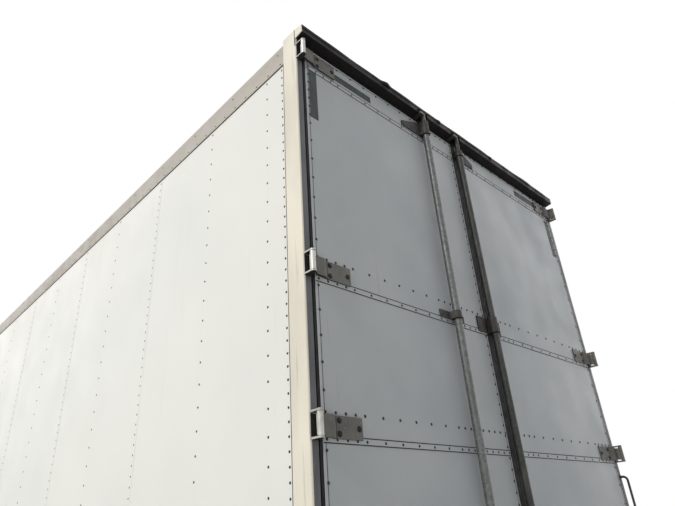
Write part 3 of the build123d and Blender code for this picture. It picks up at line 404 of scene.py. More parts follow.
# Nose wall: the same sheet and lining, parted along the trailer
nose_wall = two_coats(
    "pre-painted_sheet_over_plywood_nose", sheet_coat, ply_face,
    ((1, AS_IS, wall_front + 20 * MM), (0, AWAY, wall_face - 30 * MM)), sheet_rough, sheet_bumps,
)
# Enamelled pressed steel posts: chalked warm off-white, rubbed grey beside the doors, where the
# grey is darkened as painted shade
post_enamel = two_coats(
    "chalked_cream_enamel_on_steel", cream_coat, grey_and_shaded_coat,
    ((1, AS_IS, rear + 1 * MM), (0, AWAY, side - 9 * MM)), (120, 0.42, 0.6), ((16, 0.12),),
)
# Left hinges: zinc-plated pressed leaves gone brownish grey, turned barrels bright
hinge_zinc = two_coats(
    "dulled_zinc_leaves_bright_barrels", barrel_coat, leaf_coat, ((0, AWAY, side - 25 * MM),),
    (40, 0.4, 0.56), ((3, 0.06),), Metallic=0.4,
)
# Right hinges: road film and painted shade turn barrels and leaves alike brown-grey
hinge_zinc_filmed_and_shaded = two_coats(
    "zinc_hinges_road_film_and_painted_shade", filmed_and_shaded_coat, leaf_coat, ((0, AWAY, side - 25 * MM),),
    (40, 0.45, 0.62), ((3, 0.06),), Metallic=0.3,
)
# Turned zinc butts on the posts: bright on the left; on the right, road film and painted shade
barrel_zinc = two_coats(
    "zinc_on_turned_steel", filmed_and_shaded_coat, bright_coat, ((0, AS_IS, 0.0),), (30, 0.34, 0.5),
    ((2, 0.04, (1, 1, 0.1)),), Metallic=0.45,
)


def end_plate_gap_shade(tree):
    """A dark line of painted shade for the gap between each post and the end plate of the header.
    """
    parts = parted(tree, add(tree, "ShaderNodeTexCoord").outputs["Object"])
    near = calc(tree, "COMPARE", parts[1], rear + 5 * MM, 3 * MM)
    return calc(tree, "MULTIPLY", near, calc(tree, "GREATER_THAN", parts[2], top - 112 * MM))


def faces_down_painted_shade(tree):
    """Faces that point down: painted shade, with the old grease and road film that no rain washes
    away.
    """
    height = parted(tree, add(tree, "ShaderNodeNewGeometry").outputs["True Normal"])[2]
    return remap(tree, height, From_Min=-0.3, From_Max=-0.9)


# Painted shade in the gap between each post and the header's end plate
cover(post_enamel, end_plate_gap_shade, "#3a3833")
# Painted shade with grime: a dark tone on the downward faces of the zinc butts and left hinges
for turned_steel in (barrel_zinc, hinge_zinc):
    cover(turned_steel, faces_down_painted_shade, "#37332d")

# The CAD pieces that each material covers
DRESS = {
    side_wall: "side_wall_left side_wall_right", nose_wall: "front_wall",
    door_skin: "door_panel_left door_panel_right", post_enamel: "corner_posts",
    sill_enamel: "rear_sill", rail_aluminium: "top_rails bottom_rails front_bands",
    roof_aluminium: "roof", sheet_zinc: "roof_bows brake_chambers front_couplings",
    header_enamel: "rear_header header_drip_rail",
    forged_steel_and_fold_shade: "rod_keepers rod_brackets_left rod_brackets_right grab_handle",
    barrel_zinc: "hinge_butts", hinge_zinc: "door_hinges_left",
    hinge_zinc_filmed_and_shaded: "door_hinges_right", rod_zinc: "lock_rod_left",
    rod_zinc_worn_and_shaded: "lock_rod_right", rubber_and_painted_shade: "door_seal_left door_seal_right mud_flaps",
    deck_oak: "floor",
    chassis_enamel: "crossmembers slide_rails tandem_frame leaf_springs equalisers axles"
    " landing_legs landing_bracing coupler_plate rear_bumper air_tank",
    greased_steel: "kingpin", lens_red: "rear_lamps", lens_amber: "side_markers",
    wheel_enamel: " ".join(f"wheel_{body}" for body in WHEELS),
}
for material, nodes in DRESS.items():
    for node in nodes.split():
        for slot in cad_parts[node].material_slots:
            slot.material = material


# Trees for what repeats


def seed(points, edges=(), **fields):
    """A mesh of bare points, or of rows as edges, with named values at each point."""
    mesh = bpy.data.meshes.new("seed")
    mesh.from_pydata([tuple(p) for p in points], list(edges), [])
    for label, values in fields.items():
        wide = hasattr(values[0], "__len__")
        layer = mesh.attributes.new(label, "FLOAT_VECTOR" if wide else "FLOAT", "POINT")
        flat = [c for value in values for c in value] if wide else list(values)
        layer.data.foreach_set("vector" if wide else "value", flat)
    return mesh


def new_tree(name, sockets):
    """An empty tree with a geometry socket and the named inputs."""
    tree = bpy.data.node_groups.new(name, "GeometryNodeTree")
    new_socket = tree.interface.new_socket
    new_socket("Seed", in_out="INPUT", socket_type="NodeSocketGeometry")
    for label, kind in sockets:
        new_socket(label, in_out="INPUT", socket_type=f"NodeSocket{kind}")
    new_socket("Pieces", in_out="OUTPUT", socket_type="NodeSocketGeometry")
    return tree, add(tree, "NodeGroupInput").outputs


def at_points(tree, label, kind="FLOAT_VECTOR"):
    """The value that the seed's points carry under a name."""
    return add(tree, "GeometryNodeInputNamedAttribute", {"Name": label}, data_type=kind).outputs[0]


def settle(tree, given, **placing):
    """The tree's end: its instances placed, made real, and given their own material."""
    placed = add(tree, "GeometryNodeInstanceOnPoints", placing).outputs[0]
    solid = add(tree, "GeometryNodeRealizeInstances", {"Geometry": placed}).outputs[0]
    inputs = {"Geometry": solid, "Material": given["Finish"]}
    coated = add(tree, "GeometryNodeSetMaterial", inputs)
    add(tree, "NodeGroupOutput", {"Pieces": coated.outputs[0]})


def drum(tree, sides, radius, depth, **more):
    """A plain round of the given sides."""
    inputs = {"Vertices": sides, "Radius": radius, "Depth": depth, **more}
    return add(tree, "GeometryNodeMeshCylinder", inputs).outputs["Mesh"]


def dome(tree, given):
    """A domed head standing on the sheet: its rings draw in towards the crown."""
    height = given["Height"]
    body = drum(tree, given["Sides"], given["Radius"], height, **{"Side Segments": 2})
    where = parted(tree, add(tree, "GeometryNodeInputPosition").outputs[0])
    lift = calc(tree, "ADD", calc(tree, "DIVIDE", where[2], height), 0.5)
    draw = remap(tree, calc(tree, "POWER", lift, 2.0), To_Min=1.0, To_Max=0.12)
    pull = calc(tree, "SQRT", draw)
    wide = [calc(tree, "MULTIPLY", where[i], pull) for i in (0, 1)]
    places = {0: wide[0], 1: wide[1], 2: calc(tree, "MULTIPLY", lift, height)}
    spot = add(tree, "ShaderNodeCombineXYZ", places).outputs[0]
    return add(tree, "GeometryNodeSetPosition", {"Geometry": body, "Position": spot}).outputs[0]


def hexagon(tree, given):
    """A hexagon head on a round washer, wider than the head and a quarter of its height."""
    radius, height = given["Radius"], given["Height"]
    lift = add(tree, "ShaderNodeCombineXYZ", {2: calc(tree, "MULTIPLY", height, 0.5)}).outputs[0]
    head = drum(tree, 6, radius, height)
    raised = add(tree, "GeometryNodeTransform", {"Geometry": head, "Translation": lift})
    brim = calc(tree, "MULTIPLY", radius, 1.35)
    washer = drum(tree, given["Sides"], brim, calc(tree, "MULTIPLY", height, 0.25))
    joined = add(tree, "GeometryNodeJoinGeometry", {"Geometry": raised.outputs[0]})
    tree.links.new(washer, joined.inputs[0])
    return joined.outputs[0]


def head_tree(name, make_head, along_rows=False, ring=False):
    """Heads at each point, or at an even pitch along each row, or round a ring at each point."""
    sockets = [("Radius", "Float"), ("Height", "Float"), ("Sides", "Int"), ("Finish", "Material")]
    if ring:
        sockets += [("Count", "Int"), ("Circle", "Float")]
    tree, given = new_tree(name, sockets)
    points = given["Seed"]
    if along_rows:
        rows = add(tree, "GeometryNodeMeshToCurve", {"Mesh": points}).outputs[0]
        length = add(tree, "GeometryNodeSplineLength").outputs[0]
        gaps = calc(tree, "DIVIDE", length, at_points(tree, "pitch", "FLOAT"))
        count = calc(tree, "ADD", calc(tree, "ROUND", gaps), 1.0)
        inputs = {"Curve": rows, "Count": count}
        points = add(tree, "GeometryNodeResampleCurve", inputs, mode="COUNT").outputs[0]
    head = make_head(tree, given)
    if ring:
        inputs = {"Vertices": given["Count"], "Radius": given["Circle"]}
        circle = add(tree, "GeometryNodeMeshCircle", inputs).outputs[0]
        inputs = {"Points": circle, "Instance": head}
        around = add(tree, "GeometryNodeInstanceOnPoints", inputs).outputs[0]
        head = add(tree, "GeometryNodeRealizeInstances", {"Geometry": around}).outputs[0]
    inputs = {"Vector": at_points(tree, "facing")}
    turn = add(tree, "FunctionNodeAlignRotationToVector", inputs, axis="Z").outputs[0]
    settle(tree, given, Points=points, Instance=head, Rotation=turn)
    return tree


def block_tree(name, turned=False):
    """Blocks at each point, each its own size and, if asked, its own turn."""
    tree, given = new_tree(name, (("Finish", "Material"),))
    blank = add(tree, "GeometryNodeMeshCube", {"Size": (1, 1, 1)}).outputs["Mesh"]
    placing = {"Points": given["Seed"], "Instance": blank, "Scale": at_points(tree, "size")}
    if turned:
        placing["Rotation"] = at_points(tree, "turn")
    settle(tree, given, **placing)
    return tree


rivet_rows = head_tree("rivet_rows", dome, along_rows=True)
bolt_rows = head_tree("bolt_rows", hexagon, along_rows=True)
dome_spots = head_tree("domed_bolts", dome)
bolt_spots = head_tree("hexagon_bolts", hexagon)
bolt_rings = head_tree("nuts_round_a_hub", hexagon, ring=True)
strip_tree = block_tree("strips_and_plates")
tread_tree = block_tree("tread_blocks", turned=True)


def linked(name, data):
    """A new object in the scene."""
    made = bpy.data.objects.new(name, data)
    scene.collection.objects.link(made)
    return made


def plain_mesh(made):
    """The mesh that an object shows, modifiers and bevels done."""
    shown = made.evaluated_get(bpy.context.evaluated_depsgraph_get())
    return bpy.data.meshes.new_from_object(shown)


def aboard(made, body):
    """Rides on a body."""
    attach(made, body)
    return made


def grow(name, body, tree, mesh, edge=0.0, **sizes):
    """Runs a tree on a seed and keeps the plain mesh it makes, riding on a body."""
    made = linked(name, mesh)
    modifier = made.modifiers.new("tree", "NODES")
    modifier.node_group = tree
    for item in tree.interface.items_tree:
        if item.in_out == "INPUT" and item.name in sizes:
            modifier[item.identifier] = sizes[item.name]
    if edge:
        bevel = made.modifiers.new("edge", "BEVEL")
        bevel.width = edge
        bevel.segments = 2
    result = plain_mesh(made)
    made.modifiers.clear()
    made.data = result
    return aboard(made, body)


def piece(name, body, mesh, material, smooth=True):
    """A piece made in mesh code, in place, riding on a body."""
    made = linked(name, mesh)
    mesh.materials.append(material)
    mesh.shade_smooth() if smooth else mesh.shade_flat()
    return aboard(made, body)


def strips(name, boxes, material, edge=0.4 * MM, body=VAN):
    """Flat strips and plates. A box is its low and high corners."""
    middles = [tuple((a + b) / 2 for a, b in zip(low, high)) for low, high in boxes]
    sizes = [tuple(abs(b - a) for a, b in zip(low, high)) for low, high in boxes]
    return grow(name, body, strip_tree, seed(middles, size=sizes), edge=edge, Finish=material)


def heads(name, tree, places, facing, radius, height, material, sides=12, body=VAN):
    """Heads facing one way: single, or in rows of start, end and pitch. Sizes in millimetres."""
    points, edges, fields = places, (), {}
    if hasattr(places[0][0], "__len__"):
        points = [p for row in places for p in row[:2]]
        edges = [(i, i + 1) for i in range(0, len(points), 2)]
        fields["pitch"] = [row[2] for row in places for _ in range(2)]
    mesh = seed(points, edges, facing=[facing] * len(points), **fields)
    sizes = {"Radius": radius * MM, "Height": height * MM, "Sides": sides, "Finish": material}
    return grow(name, body, tree, mesh, **sizes)


def mirrored(hand, given):
    """Places at any depth of a table, given for the right side, on the side of the hand."""
    if not isinstance(given, (tuple, list)):
        return given
    if isinstance(given[0], (tuple, list)):
        return [mirrored(hand, part) for part in given]
    return (hand * given[0], *given[1:])


def both(make, name, *given, on_doors=False, **sizes):
    """A piece on each side, given for the right one; the left one is its mirror image."""
    for label, hand in SIDES:
        body = f"{label}_door" if on_doors else VAN
        make(f"{name}_{label}", *[mirrored(hand, part) for part in given], body=body, **sizes)


def outwards(name, work, edge=0.0):
    """The mesh of some bmesh work, its faces outwards and its edges rounded if asked."""
    bmesh.ops.recalc_face_normals(work, faces=work.faces)
    if edge:
        bmesh.ops.bevel(work, geom=work.edges[:], offset=edge, segments=2, affect="EDGES")
    mesh = bpy.data.meshes.new(name)
    work.to_mesh(mesh)
    work.free()
    return mesh


def join_rings(work, pairs):
    """Faces between each two neighbouring rings of points."""
    for near, far in pairs:
        for j in range(len(near)):
            k = (j + 1) % len(near)
            work.faces.new((near[j], near[k], far[k], far[j]))


def turned_shell(name, profile, steps, middle, hand):
    """A closed skin turned about a wheel's axle. The profile goes outwards along x, then radius."""
    x0, y0, z0 = middle
    work = bmesh.new()
    rings = []
    for i in range(steps):
        turn = 2 * math.pi * i / steps
        aft, rise = math.cos(turn), math.sin(turn)
        ring = [(x0 + hand * x * MM, y0 + r * MM * aft, z0 + r * MM * rise) for x, r in profile]
        rings.append([work.verts.new(place) for place in ring])
    join_rings(work, zip(rings, rings[1:] + rings[:1]))
    return outwards(name, work)


def bent_bars(name, body, paths, radius, material):
    """Round bars along their paths, with closed ends. The radius is in millimetres."""
    curve = bpy.data.curves.new(name, "CURVE")
    curve.dimensions = "3D"
    curve.bevel_depth = radius * MM
    curve.bevel_resolution = 2
    curve.use_fill_caps = True
    for path in paths:
        line = curve.splines.new("POLY")
        line.points.add(len(path) - 1)
        for point, place in zip(line.points, path):
            point.co = (*place, 1)
    bent = linked(name, curve)
    mesh = plain_mesh(bent)
    bpy.data.objects.remove(bent)
    return piece(name, body, mesh, material)


# Camera: the photograph's own viewpoint, at eye level behind the left rear corner

right_way = Vector((0.72684, -0.68399, -0.06216))
up_way = Vector((-0.27411, -0.37189, 0.88688))
view_way = Vector((0.62973, 0.62758, 0.45779))
camera_lens = bpy.data.cameras.new("viewpoint")
camera_lens.lens = 28.8
camera_lens.sensor_width = 36
camera_lens.clip_start = 0.05
camera_lens.clip_end = 200
camera = linked("viewpoint", camera_lens)
camera.matrix_world = Matrix.Translation((-2.547, rear - 1.44, 1.85)) @ Matrix(
    [(right_way[i], up_way[i], -view_way[i]) for i in range(3)]
).to_4x4()
scene.camera = camera


# Side walls: rivet columns at each post, lap strips at each sheet's edge, rails and their tape

DENSE, OPEN = 50.8 * MM, 101.6 * MM
POST_PITCH, LAP_HALF = 609.6, 19
FIRST_BEAM, BEAM_PITCH = 0.203, 0.406
TAPE_STEP = 457 * MM
TAPES = (
    # colour, start, length, material
    ("red", 0, 279 * MM, tape_red),
    ("white", 279 * MM, 178 * MM, tape_white),
)
sheet_low, sheet_high = floor_rail_head + 10 * MM, rail_foot - 8 * MM
face, rail_face = wall_face - SUNK, rail_side - SUNK
wall_length = (wall_front - rear) / MM
# Millimetres forward from the posts, and pitch: open and dense by turns after the first four
columns = [(119, DENSE), (242, OPEN), (763, OPEN), (1387, DENSE)]
while columns[-1][0] + POST_PITCH < wall_length - 60:
    columns.append((columns[-1][0] + POST_PITCH, OPEN if columns[-1][1] == DENSE else DENSE))
columns.append((wall_length - 22, DENSE))
rows = [
    ((face, rear + v * MM, sheet_low + 0.02), (face, rear + v * MM, sheet_high - 0.02), pitch)
    for v, pitch in columns
]
both(heads, "side_rivets", rivet_rows, rows, OUT, 5.6, 2.8, rivet_dirt_and_shade_grey, 9)
rows = [
    ((rail_face, frame_front + clear, h), (rail_face, wall_front - clear, h), pitch)
    for h, clear, pitch in (
        # height, clear of the ends, pitch
        (rail_foot + 16 * MM, 0.03, OPEN),
        (floor_rail_head - 16 * MM, 0.03, OPEN),
        (rail_foot + 95 * MM, 0.05, 4 * OPEN),
    )
]
both(heads, "rail_rivets", rivet_rows, rows, OUT, 4.8, 2.4, rivet_dirt_and_shade_grey, 9)
first = frame_front + FIRST_BEAM
rows = [
    ((rail_face, first, h), (rail_face, first + 30 * BEAM_PITCH, h), BEAM_PITCH)
    for h in (1.212, 1.262)
]
both(heads, "crossmember_bolts", bolt_rows, rows, OUT, 9, 2.8, sheet_zinc)
laps = [
    (
        (wall_face, rear + (v - LAP_HALF) * MM, sheet_low),
        (wall_face + 1 * MM, rear + (v + LAP_HALF) * MM, sheet_high),
    )
    for v, pitch in columns[3:-1] if pitch == DENSE
]
both(strips, "sheet_laps", laps, side_wall)
# Dark lines along the rails, the posts and the front: sealant, with the shade under the top rail
# and in the gaps by the posts painted in
joints = [
    ((wall_face, y, z), (wall_face + proud * MM, end_y, end_z))
    for proud, y, z, end_y, end_z in (
        # proud of the wall, from y and z, to y and z
        (2, frame_front, rail_foot - 6 * MM, wall_front, rail_foot),
        (2, frame_front, floor_rail_head, wall_front, floor_rail_head + 5 * MM),
        (4, frame_front, floor_rail_head, frame_front + 8 * MM, rail_foot),
        (2, wall_front - 3 * MM, floor_rail_head, wall_front, rail_foot),
    )
]
both(strips, "sheet_joints", joints, sealant_and_shade_lines)
tape_low, tape_high = floor_rail_foot + 112 * MM, floor_rail_foot + 162 * MM
tape_start, tape_face = frame_front + 0.1, rail_side + 0.5 * MM
tape_count = int((wall_front - frame_front - 0.2) // TAPE_STEP)
for label, offset, length, material in TAPES:
    starts = [tape_start + i * TAPE_STEP + offset for i in range(tape_count)]
    lengths = [((rail_side, y, tape_low), (tape_face, y + length, tape_high)) for y in starts]
    both(strips, f"side_tape_{label}", lengths, material, edge=0)


# Doors: rivets, strips across their lower rows, old tape. u is inwards from the left side,
# h is up from the top, both in millimetres.


def spot(u, h, v=door_face):
    """A place on the doors from the tables' millimetres."""
    return (-side + u * MM, v, top + h * MM)


foot_row = (door_foot - top) / MM + 20
strip_half, line_half = 12, 2
rivet_foot = door_face + SUNK
for name, heights, edge_u, seam_u, (from_u, to_u), runs in (
    # door, rows of its bands, edge column, seam column, ends of its strips,
    # runs of rivets in each row: from u, to u, pitch
    (
        "left", (-103, -214, -1268.5, -1367, -1885, -1978.5, -2503, -2598), 72, 1270, (60, 1284),
        ((74, 277, DENSE), (379, 784, OPEN), (881, 1275, DENSE)),
    ),
    (
        "right", (-90, -199, -1268.5, -1367, -1885, -1978.5, -2503, -2598), 2519, 1353,
        (1339, 2532),
        ((1352, 1560, DENSE), (1660, 2210, OPEN), (2310, 2514, DENSE)),
    ),
):
    body = f"{name}_door"
    low_u, high_u = sorted((edge_u, seam_u))
    # From u and h, to u and h, pitch: the rows, then the edge column, the seam column, the foot
    table = [(u, h, end_u, h, pitch) for h in heights for u, end_u, pitch in runs]
    table += [
        (edge_u, -160, edge_u, -570, DENSE), (edge_u, -672, edge_u, foot_row + 60, OPEN),
        (seam_u, -160, seam_u, foot_row + 30, DENSE), (low_u, foot_row, high_u, foot_row, OPEN),
    ]
    rows = [
        (spot(u, h, rivet_foot), spot(end_u, end_h, rivet_foot), pitch)
        for u, h, end_u, end_h, pitch in table
    ]
    heads(f"door_rivets_{name}", rivet_rows, rows, REARWARD, 6.6, 3.6, rivet_dirt_and_shade_grey, 9, body)
    bands = [
        (spot(from_u, h - strip_half, door_face - 1 * MM), spot(to_u, h + strip_half))
        for h in heights[1::2]
    ]
    strips(f"door_strips_{name}", bands, door_skin, body=body)
    # Dark lines along both edges of each strip: sealant, widened as painted shade
    lines = [
        (spot(from_u, h - line_half, door_face - 1.4 * MM), spot(to_u, h + line_half))
        for lower in heights[1::2] for h in (lower - strip_half, lower + strip_half)
    ]
    strips(f"door_strip_joint_and_shade_lines_{name}", lines, sealant_and_shade_lines, edge=0, body=body)
for name, *tapes in (
    # door, low corner u and h, high corner u and h of its two tapes
    ("left", ((75, -530), (126, -226)), ((232, -185), (529, -141))),
    ("right", ((2464, -540), (2515, -230)), ((2062, -165), (2352, -115))),
):
    plates = [(spot(*low, door_face - 0.7 * MM), spot(*high)) for low, high in tapes]
    strips(f"door_tape_{name}", plates, tape_grey, edge=0.2 * MM, body=f"{name}_door")

# Hinges: bolts of their leaves, and dark strips of painted shade down the leaves' folds and behind
# the butts

HINGES = (3.963, 2.7949, 2.179, 1.561)
leaf_face = door_face - 8 * MM
leaf_half, butt_half = 39.5 * MM, 38.5 * MM
leaf_bolts = ((133, 24), (132, -23), (233, 0))
bolts = [(side - u * MM, leaf_face + SUNK, h + dh * MM) for h in HINGES for u, dh in leaf_bolts]
both(heads, "hinge_bolts", dome_spots, bolts, REARWARD, 12, 5, bolt_oxide, 14, on_doors=True)
fold_shades, butt_shades = (
    [((side - u * MM, y, h - half), (side - end_u * MM, end_y, h + half)) for h in HINGES]
    for u, y, end_u, end_y, half in (
        # from u and y, to u and y, half height
        (114, leaf_face - 0.8 * MM, 118, leaf_face, leaf_half),
        (33, rear - 6.6 * MM, 1, rear - 6 * MM, butt_half),
    )
)
# Painted shade: dark strips down the fold of each leaf
both(strips, "hinge_leaf_creases", fold_shades, forged_steel_and_fold_shade, edge=0, on_doors=True)
# Painted shade: black strips behind the butts
both(strips, "hinge_butt_backs", butt_shades, rubber_and_painted_shade, edge=0)


# Upper bearing of the right lock rod: a gusset that deepens towards the rod

# u from the right side, height
gusset_outline = ((1087, 3930), (1246, 3930), (1246, 4026), (1112, 3976), (1087, 3963))
work = bmesh.new()
near_ring, far_ring = (
    [work.verts.new((side - u * MM, y, z * MM)) for u, z in gusset_outline]
    for y in (door_face - 8.6 * MM, door_face)
)
work.faces.new(near_ring)
work.faces.new(far_ring[::-1])
for i in range(len(near_ring)):
    k = (i + 1) % len(near_ring)
    work.faces.new((near_ring[i], far_ring[i], far_ring[k], near_ring[k]))
gusset = outwards("bearing_gusset", work, 1.2 * MM)
piece("bearing_gusset_right", "right_door", gusset, forged_steel_and_fold_shade, smooth=False)


# Header: the folded lip of thin steel along its upper edge, knocked about in places

LIP_STEPS, LIP_DEPTH, LIP_THICK = 160, 15 * MM, 1.2
DENTS = (
    # place across, half width, pushed out, lowered, the last two in millimetres
    (-0.665, 0.05, 11, 0),
    (-0.17, 0.03, 7, -4),
    (0.42, 0.035, 6, -6),
    (0.9, 0.12, 3, 0),
)
header_low, header_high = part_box("rear_header")
lip_half = header_high.x - 0.5 * MM
work = bmesh.new()
rings = []
for i in range(LIP_STEPS + 1):
    x = -lip_half + 2 * lip_half * i / LIP_STEPS
    # The rear face waves, and is pushed out where it was hit
    push = 1.2 * math.sin(x * 9) + 0.8 * math.sin(x * 23 + 1)
    lift = 0.0
    for centre, width, out, rise in DENTS:
        near = max(0.0, 1 - abs(x - centre) / width)
        push += out * near * near * (3 - 2 * near)
        lift += rise * near
    face_y = header_low.y
    y = face_y - (LIP_THICK + 2 + push) * MM
    head = top - 8.6 * MM + min(0.0, lift) * MM
    foot = head - LIP_DEPTH
    corners = ((face_y, head), (y, head), (y + 1.5 * MM, foot), (face_y, foot))
    rings.append([work.verts.new((x, *corner)) for corner in corners])
join_rings(work, zip(rings, rings[1:]))
work.faces.new(rings[0][::-1])
work.faces.new(rings[-1])
piece("header_lip", VAN, outwards("header_lip", work), header_enamel, smooth=False)


# Door hardware: collars on the lock rods, bolts through their bearing plates and catches,
# edges of the doors

plate_face = leaf_face + SUNK
rod_y = rear - 35 * MM
SHOULDER_Z = 3.946
# In millimetres: the catches' height and how far they stand from their rod; the doors' outer
# edge from its side, and how far in its joints stand and how wide they are
CATCH_Z, CATCH_OFF = 1450, 400
DOOR_EDGE, JOINT_IN, JOINT_WIDE = 57, 12, 2.5
catch_bolts = [(du, dh) for du in (-24, 24) for dh in (-38, 38)]
short_bolts = ((-89, 0), (-50, 0), (50, 0), (77, 0))
long_bolts = ((-89, 26), (-89, -26), (-50, 26), (-50, -26))
foot_bolts = ((-89, 0), (-50, 18), (-50, -18))
for name, hand, rod_u, seam_u, bearings in (
    # door, hand, rod from its side, seam of the door from its side,
    # bearings: middle height, plate height, bolts as u from the rod and height
    (
        "left", LEFT, 977, 1286,
        (
            (3971, 96, ((-172, -33), (-110, -22), (-52, -30), (-52, 22))),
            (2777, 38, short_bolts),
            (1765, 38, short_bolts),
            (1365, 70, (*foot_bolts, (50, 18), (50, -18), (77, 0))),
        ),
    ),
    (
        "right", RIGHT, 1275, 1254,
        (
            (3944, 38, ((-172, 0), (-110, 0), (-52, 0))),
            (2790, 84, long_bolts),
            (1765, 84, long_bolts),
            (1365, 70, foot_bolts),
        ),
    ),
):
    body = f"{name}_door"
    rod_x = hand * (side - rod_u * MM)
    places = [(rod_u + du, middle + dh) for middle, _, bolts in bearings for du, dh in bolts]
    places += [(rod_u - CATCH_OFF + du, CATCH_Z + dh) for du, dh in catch_bolts]
    bolts = [(hand * (side - u * MM), plate_face, z * MM) for u, z in places]
    over = [(rod_x, rod_y, (z + height / 2) * MM - SUNK) for z, height, _ in bearings]
    under = [(rod_x, rod_y, (z - height / 2) * MM + SUNK) for z, height, _ in bearings]
    shoulder = [(rod_x, rod_y, SHOULDER_Z - SUNK)]
    pin = [(rod_x, rear - 70 * MM + SUNK, CATCH_Z * MM)]
    for label, *sizes in (
        # places, facing, radius, height, material, sides
        ("bearing_bolts", bolts, REARWARD, 7, 4, rivet_dirt_and_shade_grey, 12),
        ("rod_bushes_over", over, UP, 23, 6, rubber_and_painted_shade, 24),
        ("rod_bushes_under", under, DOWN, 26, 9, rubber_and_painted_shade, 24),
        ("rod_shoulder", shoulder, UP, 21, 9, forged_steel_and_fold_shade, 24),
        ("handle_pin", pin, REARWARD, 11, 4, forged_steel_and_fold_shade, 18),
    ):
        heads(f"{label}_{name}", dome_spots, *sizes, body)
    low_u, high_u = DOOR_EDGE + JOINT_IN, seam_u - JOINT_IN
    edges = [(u, u + JOINT_WIDE, door_foot, door_head) for u in (low_u, high_u - JOINT_WIDE)]
    edges += [
        (low_u, high_u, z, z + JOINT_WIDE * MM)
        for z in (door_foot + 10 * MM, door_head - 12.5 * MM)
    ]
    joints = [
        (
            (hand * (side - u * MM), door_face - 0.5 * MM, z),
            (hand * (side - end_u * MM), door_face, end_z),
        )
        for u, end_u, z, end_z in edges
    ]
    strips(f"door_edge_joints_{name}", joints, sealant_and_shade_lines, edge=0, body=body)
handle_feet = [(1.2775, rear + SUNK, h) for h in (1.635, 2.045)]
heads("grab_handle_feet", dome_spots, handle_feet, REARWARD, 14, 4, forged_steel_and_fold_shade, 20)

# Lamps: rubber grommets, lenses with a crown, bezels; a blank plate on its holder

LAMP_XS, LAMP_Z, MARKER_Z = (-0.98, -0.84, 0.84, 0.98), 1.19, 1.18
for label, y, *sizes in (
    # piece, place along the trailer, radius, height, material
    ("lamp_grommets", rear + SUNK, 60, 8, rubber_and_painted_shade),
    ("lamp_crowns", rear - 10 * MM + SUNK, 47, 5, lens_red),
):
    heads(label, dome_spots, [(x, y, LAMP_Z) for x in LAMP_XS], REARWARD, *sizes, 32)
bezels = [
    ((x - 0.058, rear - 3 * MM, 1.115), (x + 0.058, rear, 1.157))
    for x in (-1.16, -0.15, 0, 0.15, 1.16)
]
strips("small_lamp_bezels", bezels, rubber_and_painted_shade, edge=1 * MM)
holder_face, plate_front = rear - 2 * MM, rear - 3.2 * MM
strips("plate_holder", [((-0.735, holder_face, 1.113), (-0.42, rear, 1.275))], sheet_zinc)
strips("blank_plate", [((-0.73, plate_front, 1.118), (-0.425, holder_face, 1.27))], plate_enamel)
bolts = [(x, plate_front + SUNK, z) for x in (-0.668, -0.487) for z in (1.132, 1.256)]
heads("plate_bolts", bolt_spots, bolts, REARWARD, 5, 3, sheet_zinc)

marker_low, marker_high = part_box("side_markers")
marker_ys = (marker_low.y + 51 * MM, (marker_low.y + marker_high.y) / 2, marker_high.y - 51 * MM)
for label, half, height, proud, material in (
    # half length, half height, proud of the rail
    ("bezels", 60 * MM, 23 * MM, 1.2 * MM, rubber_and_painted_shade),
    ("lenses", 50 * MM, 13 * MM, 2.4 * MM, lens_amber),
):
    plates = [
        ((rail_face, y - half, MARKER_Z - height), (rail_side + proud, y + half, MARKER_Z + height))
        for y in marker_ys
    ]
    both(strips, f"marker_{label}", plates, material, edge=0.3 * MM)

# Bumper: reflective tape in turns of red and silver, bolts of its posts

guard_low, guard_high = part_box("rear_bumper")
for label, offset, length, material in TAPES:
    lengths = [
        ((x, rear - 0.5 * MM, 0.533), (min(x + length, guard_high.x), rear, 0.583))
        for x in (guard_low.x + offset + TAPE_STEP * i for i in range(6)) if x < guard_high.x
    ]
    strips(f"bumper_tape_{label}", lengths, material, edge=0)
bolts = [
    (x + dx, rear + SUNK, z) for x in (-0.45, 0.45) for dx in (-0.022, 0.022) for z in (0.66, 0.72)
]
heads("bumper_post_bolts", bolt_spots, bolts, REARWARD, 9, 6, sheet_zinc)

# Running gear: bolts of the mud flaps and hangers, dark discs of painted shade for the pin holes of
# the slide rails, U-bolts and clamp plates of the springs, chamber clamps

WHEEL_X, SPRING_X, HANGER_HALF, HANGER_BOLT_Z = 0.98425, 0.56, 0.054, 0.865
HANGER_YS, AXLE_YS = (-5.942, -4.7995, -3.657), (-5.422, -4.177)
SLIDE_FACE, PIN_HOLE_Z, PIN_HOLE_PITCH = 0.61, 1.096, 0.1524
flap_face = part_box("mud_flaps")[0].y
bolts = [
    (hand * (WHEEL_X + dx), flap_face + SUNK, 0.985) for hand in (-1, 1)
    for dx in (-0.25, -0.085, 0.085, 0.25)
]
heads("mud_flap_bolts", bolt_spots, bolts, REARWARD, 9, 6, sheet_zinc)
for label, way in (("outer", 1), ("inner", -1)):
    x = SPRING_X + way * (HANGER_HALF - SUNK)
    bolts = [(x, y + dy, HANGER_BOLT_Z) for y in HANGER_YS for dy in (-0.06, 0.06, 0)]
    pins = [(x, HANGER_YS[i], z) for i, z in ((0, 0.575), (2, 0.575), (1, 0.63))]
    out = (way, 0, 0)
    both(heads, f"hanger_bolts_{label}", bolt_spots, bolts, out, 11, 9, chassis_enamel)
    both(heads, f"hanger_pins_{label}", bolt_spots, pins, out, 19, 14, greased_steel)
rail_low, rail_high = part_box("slide_rails")
ends = [(SLIDE_FACE - SUNK, y, PIN_HOLE_Z) for y in (rail_low.y + 0.15, rail_high.y - 0.15)]
row = [(*ends, PIN_HOLE_PITCH)]
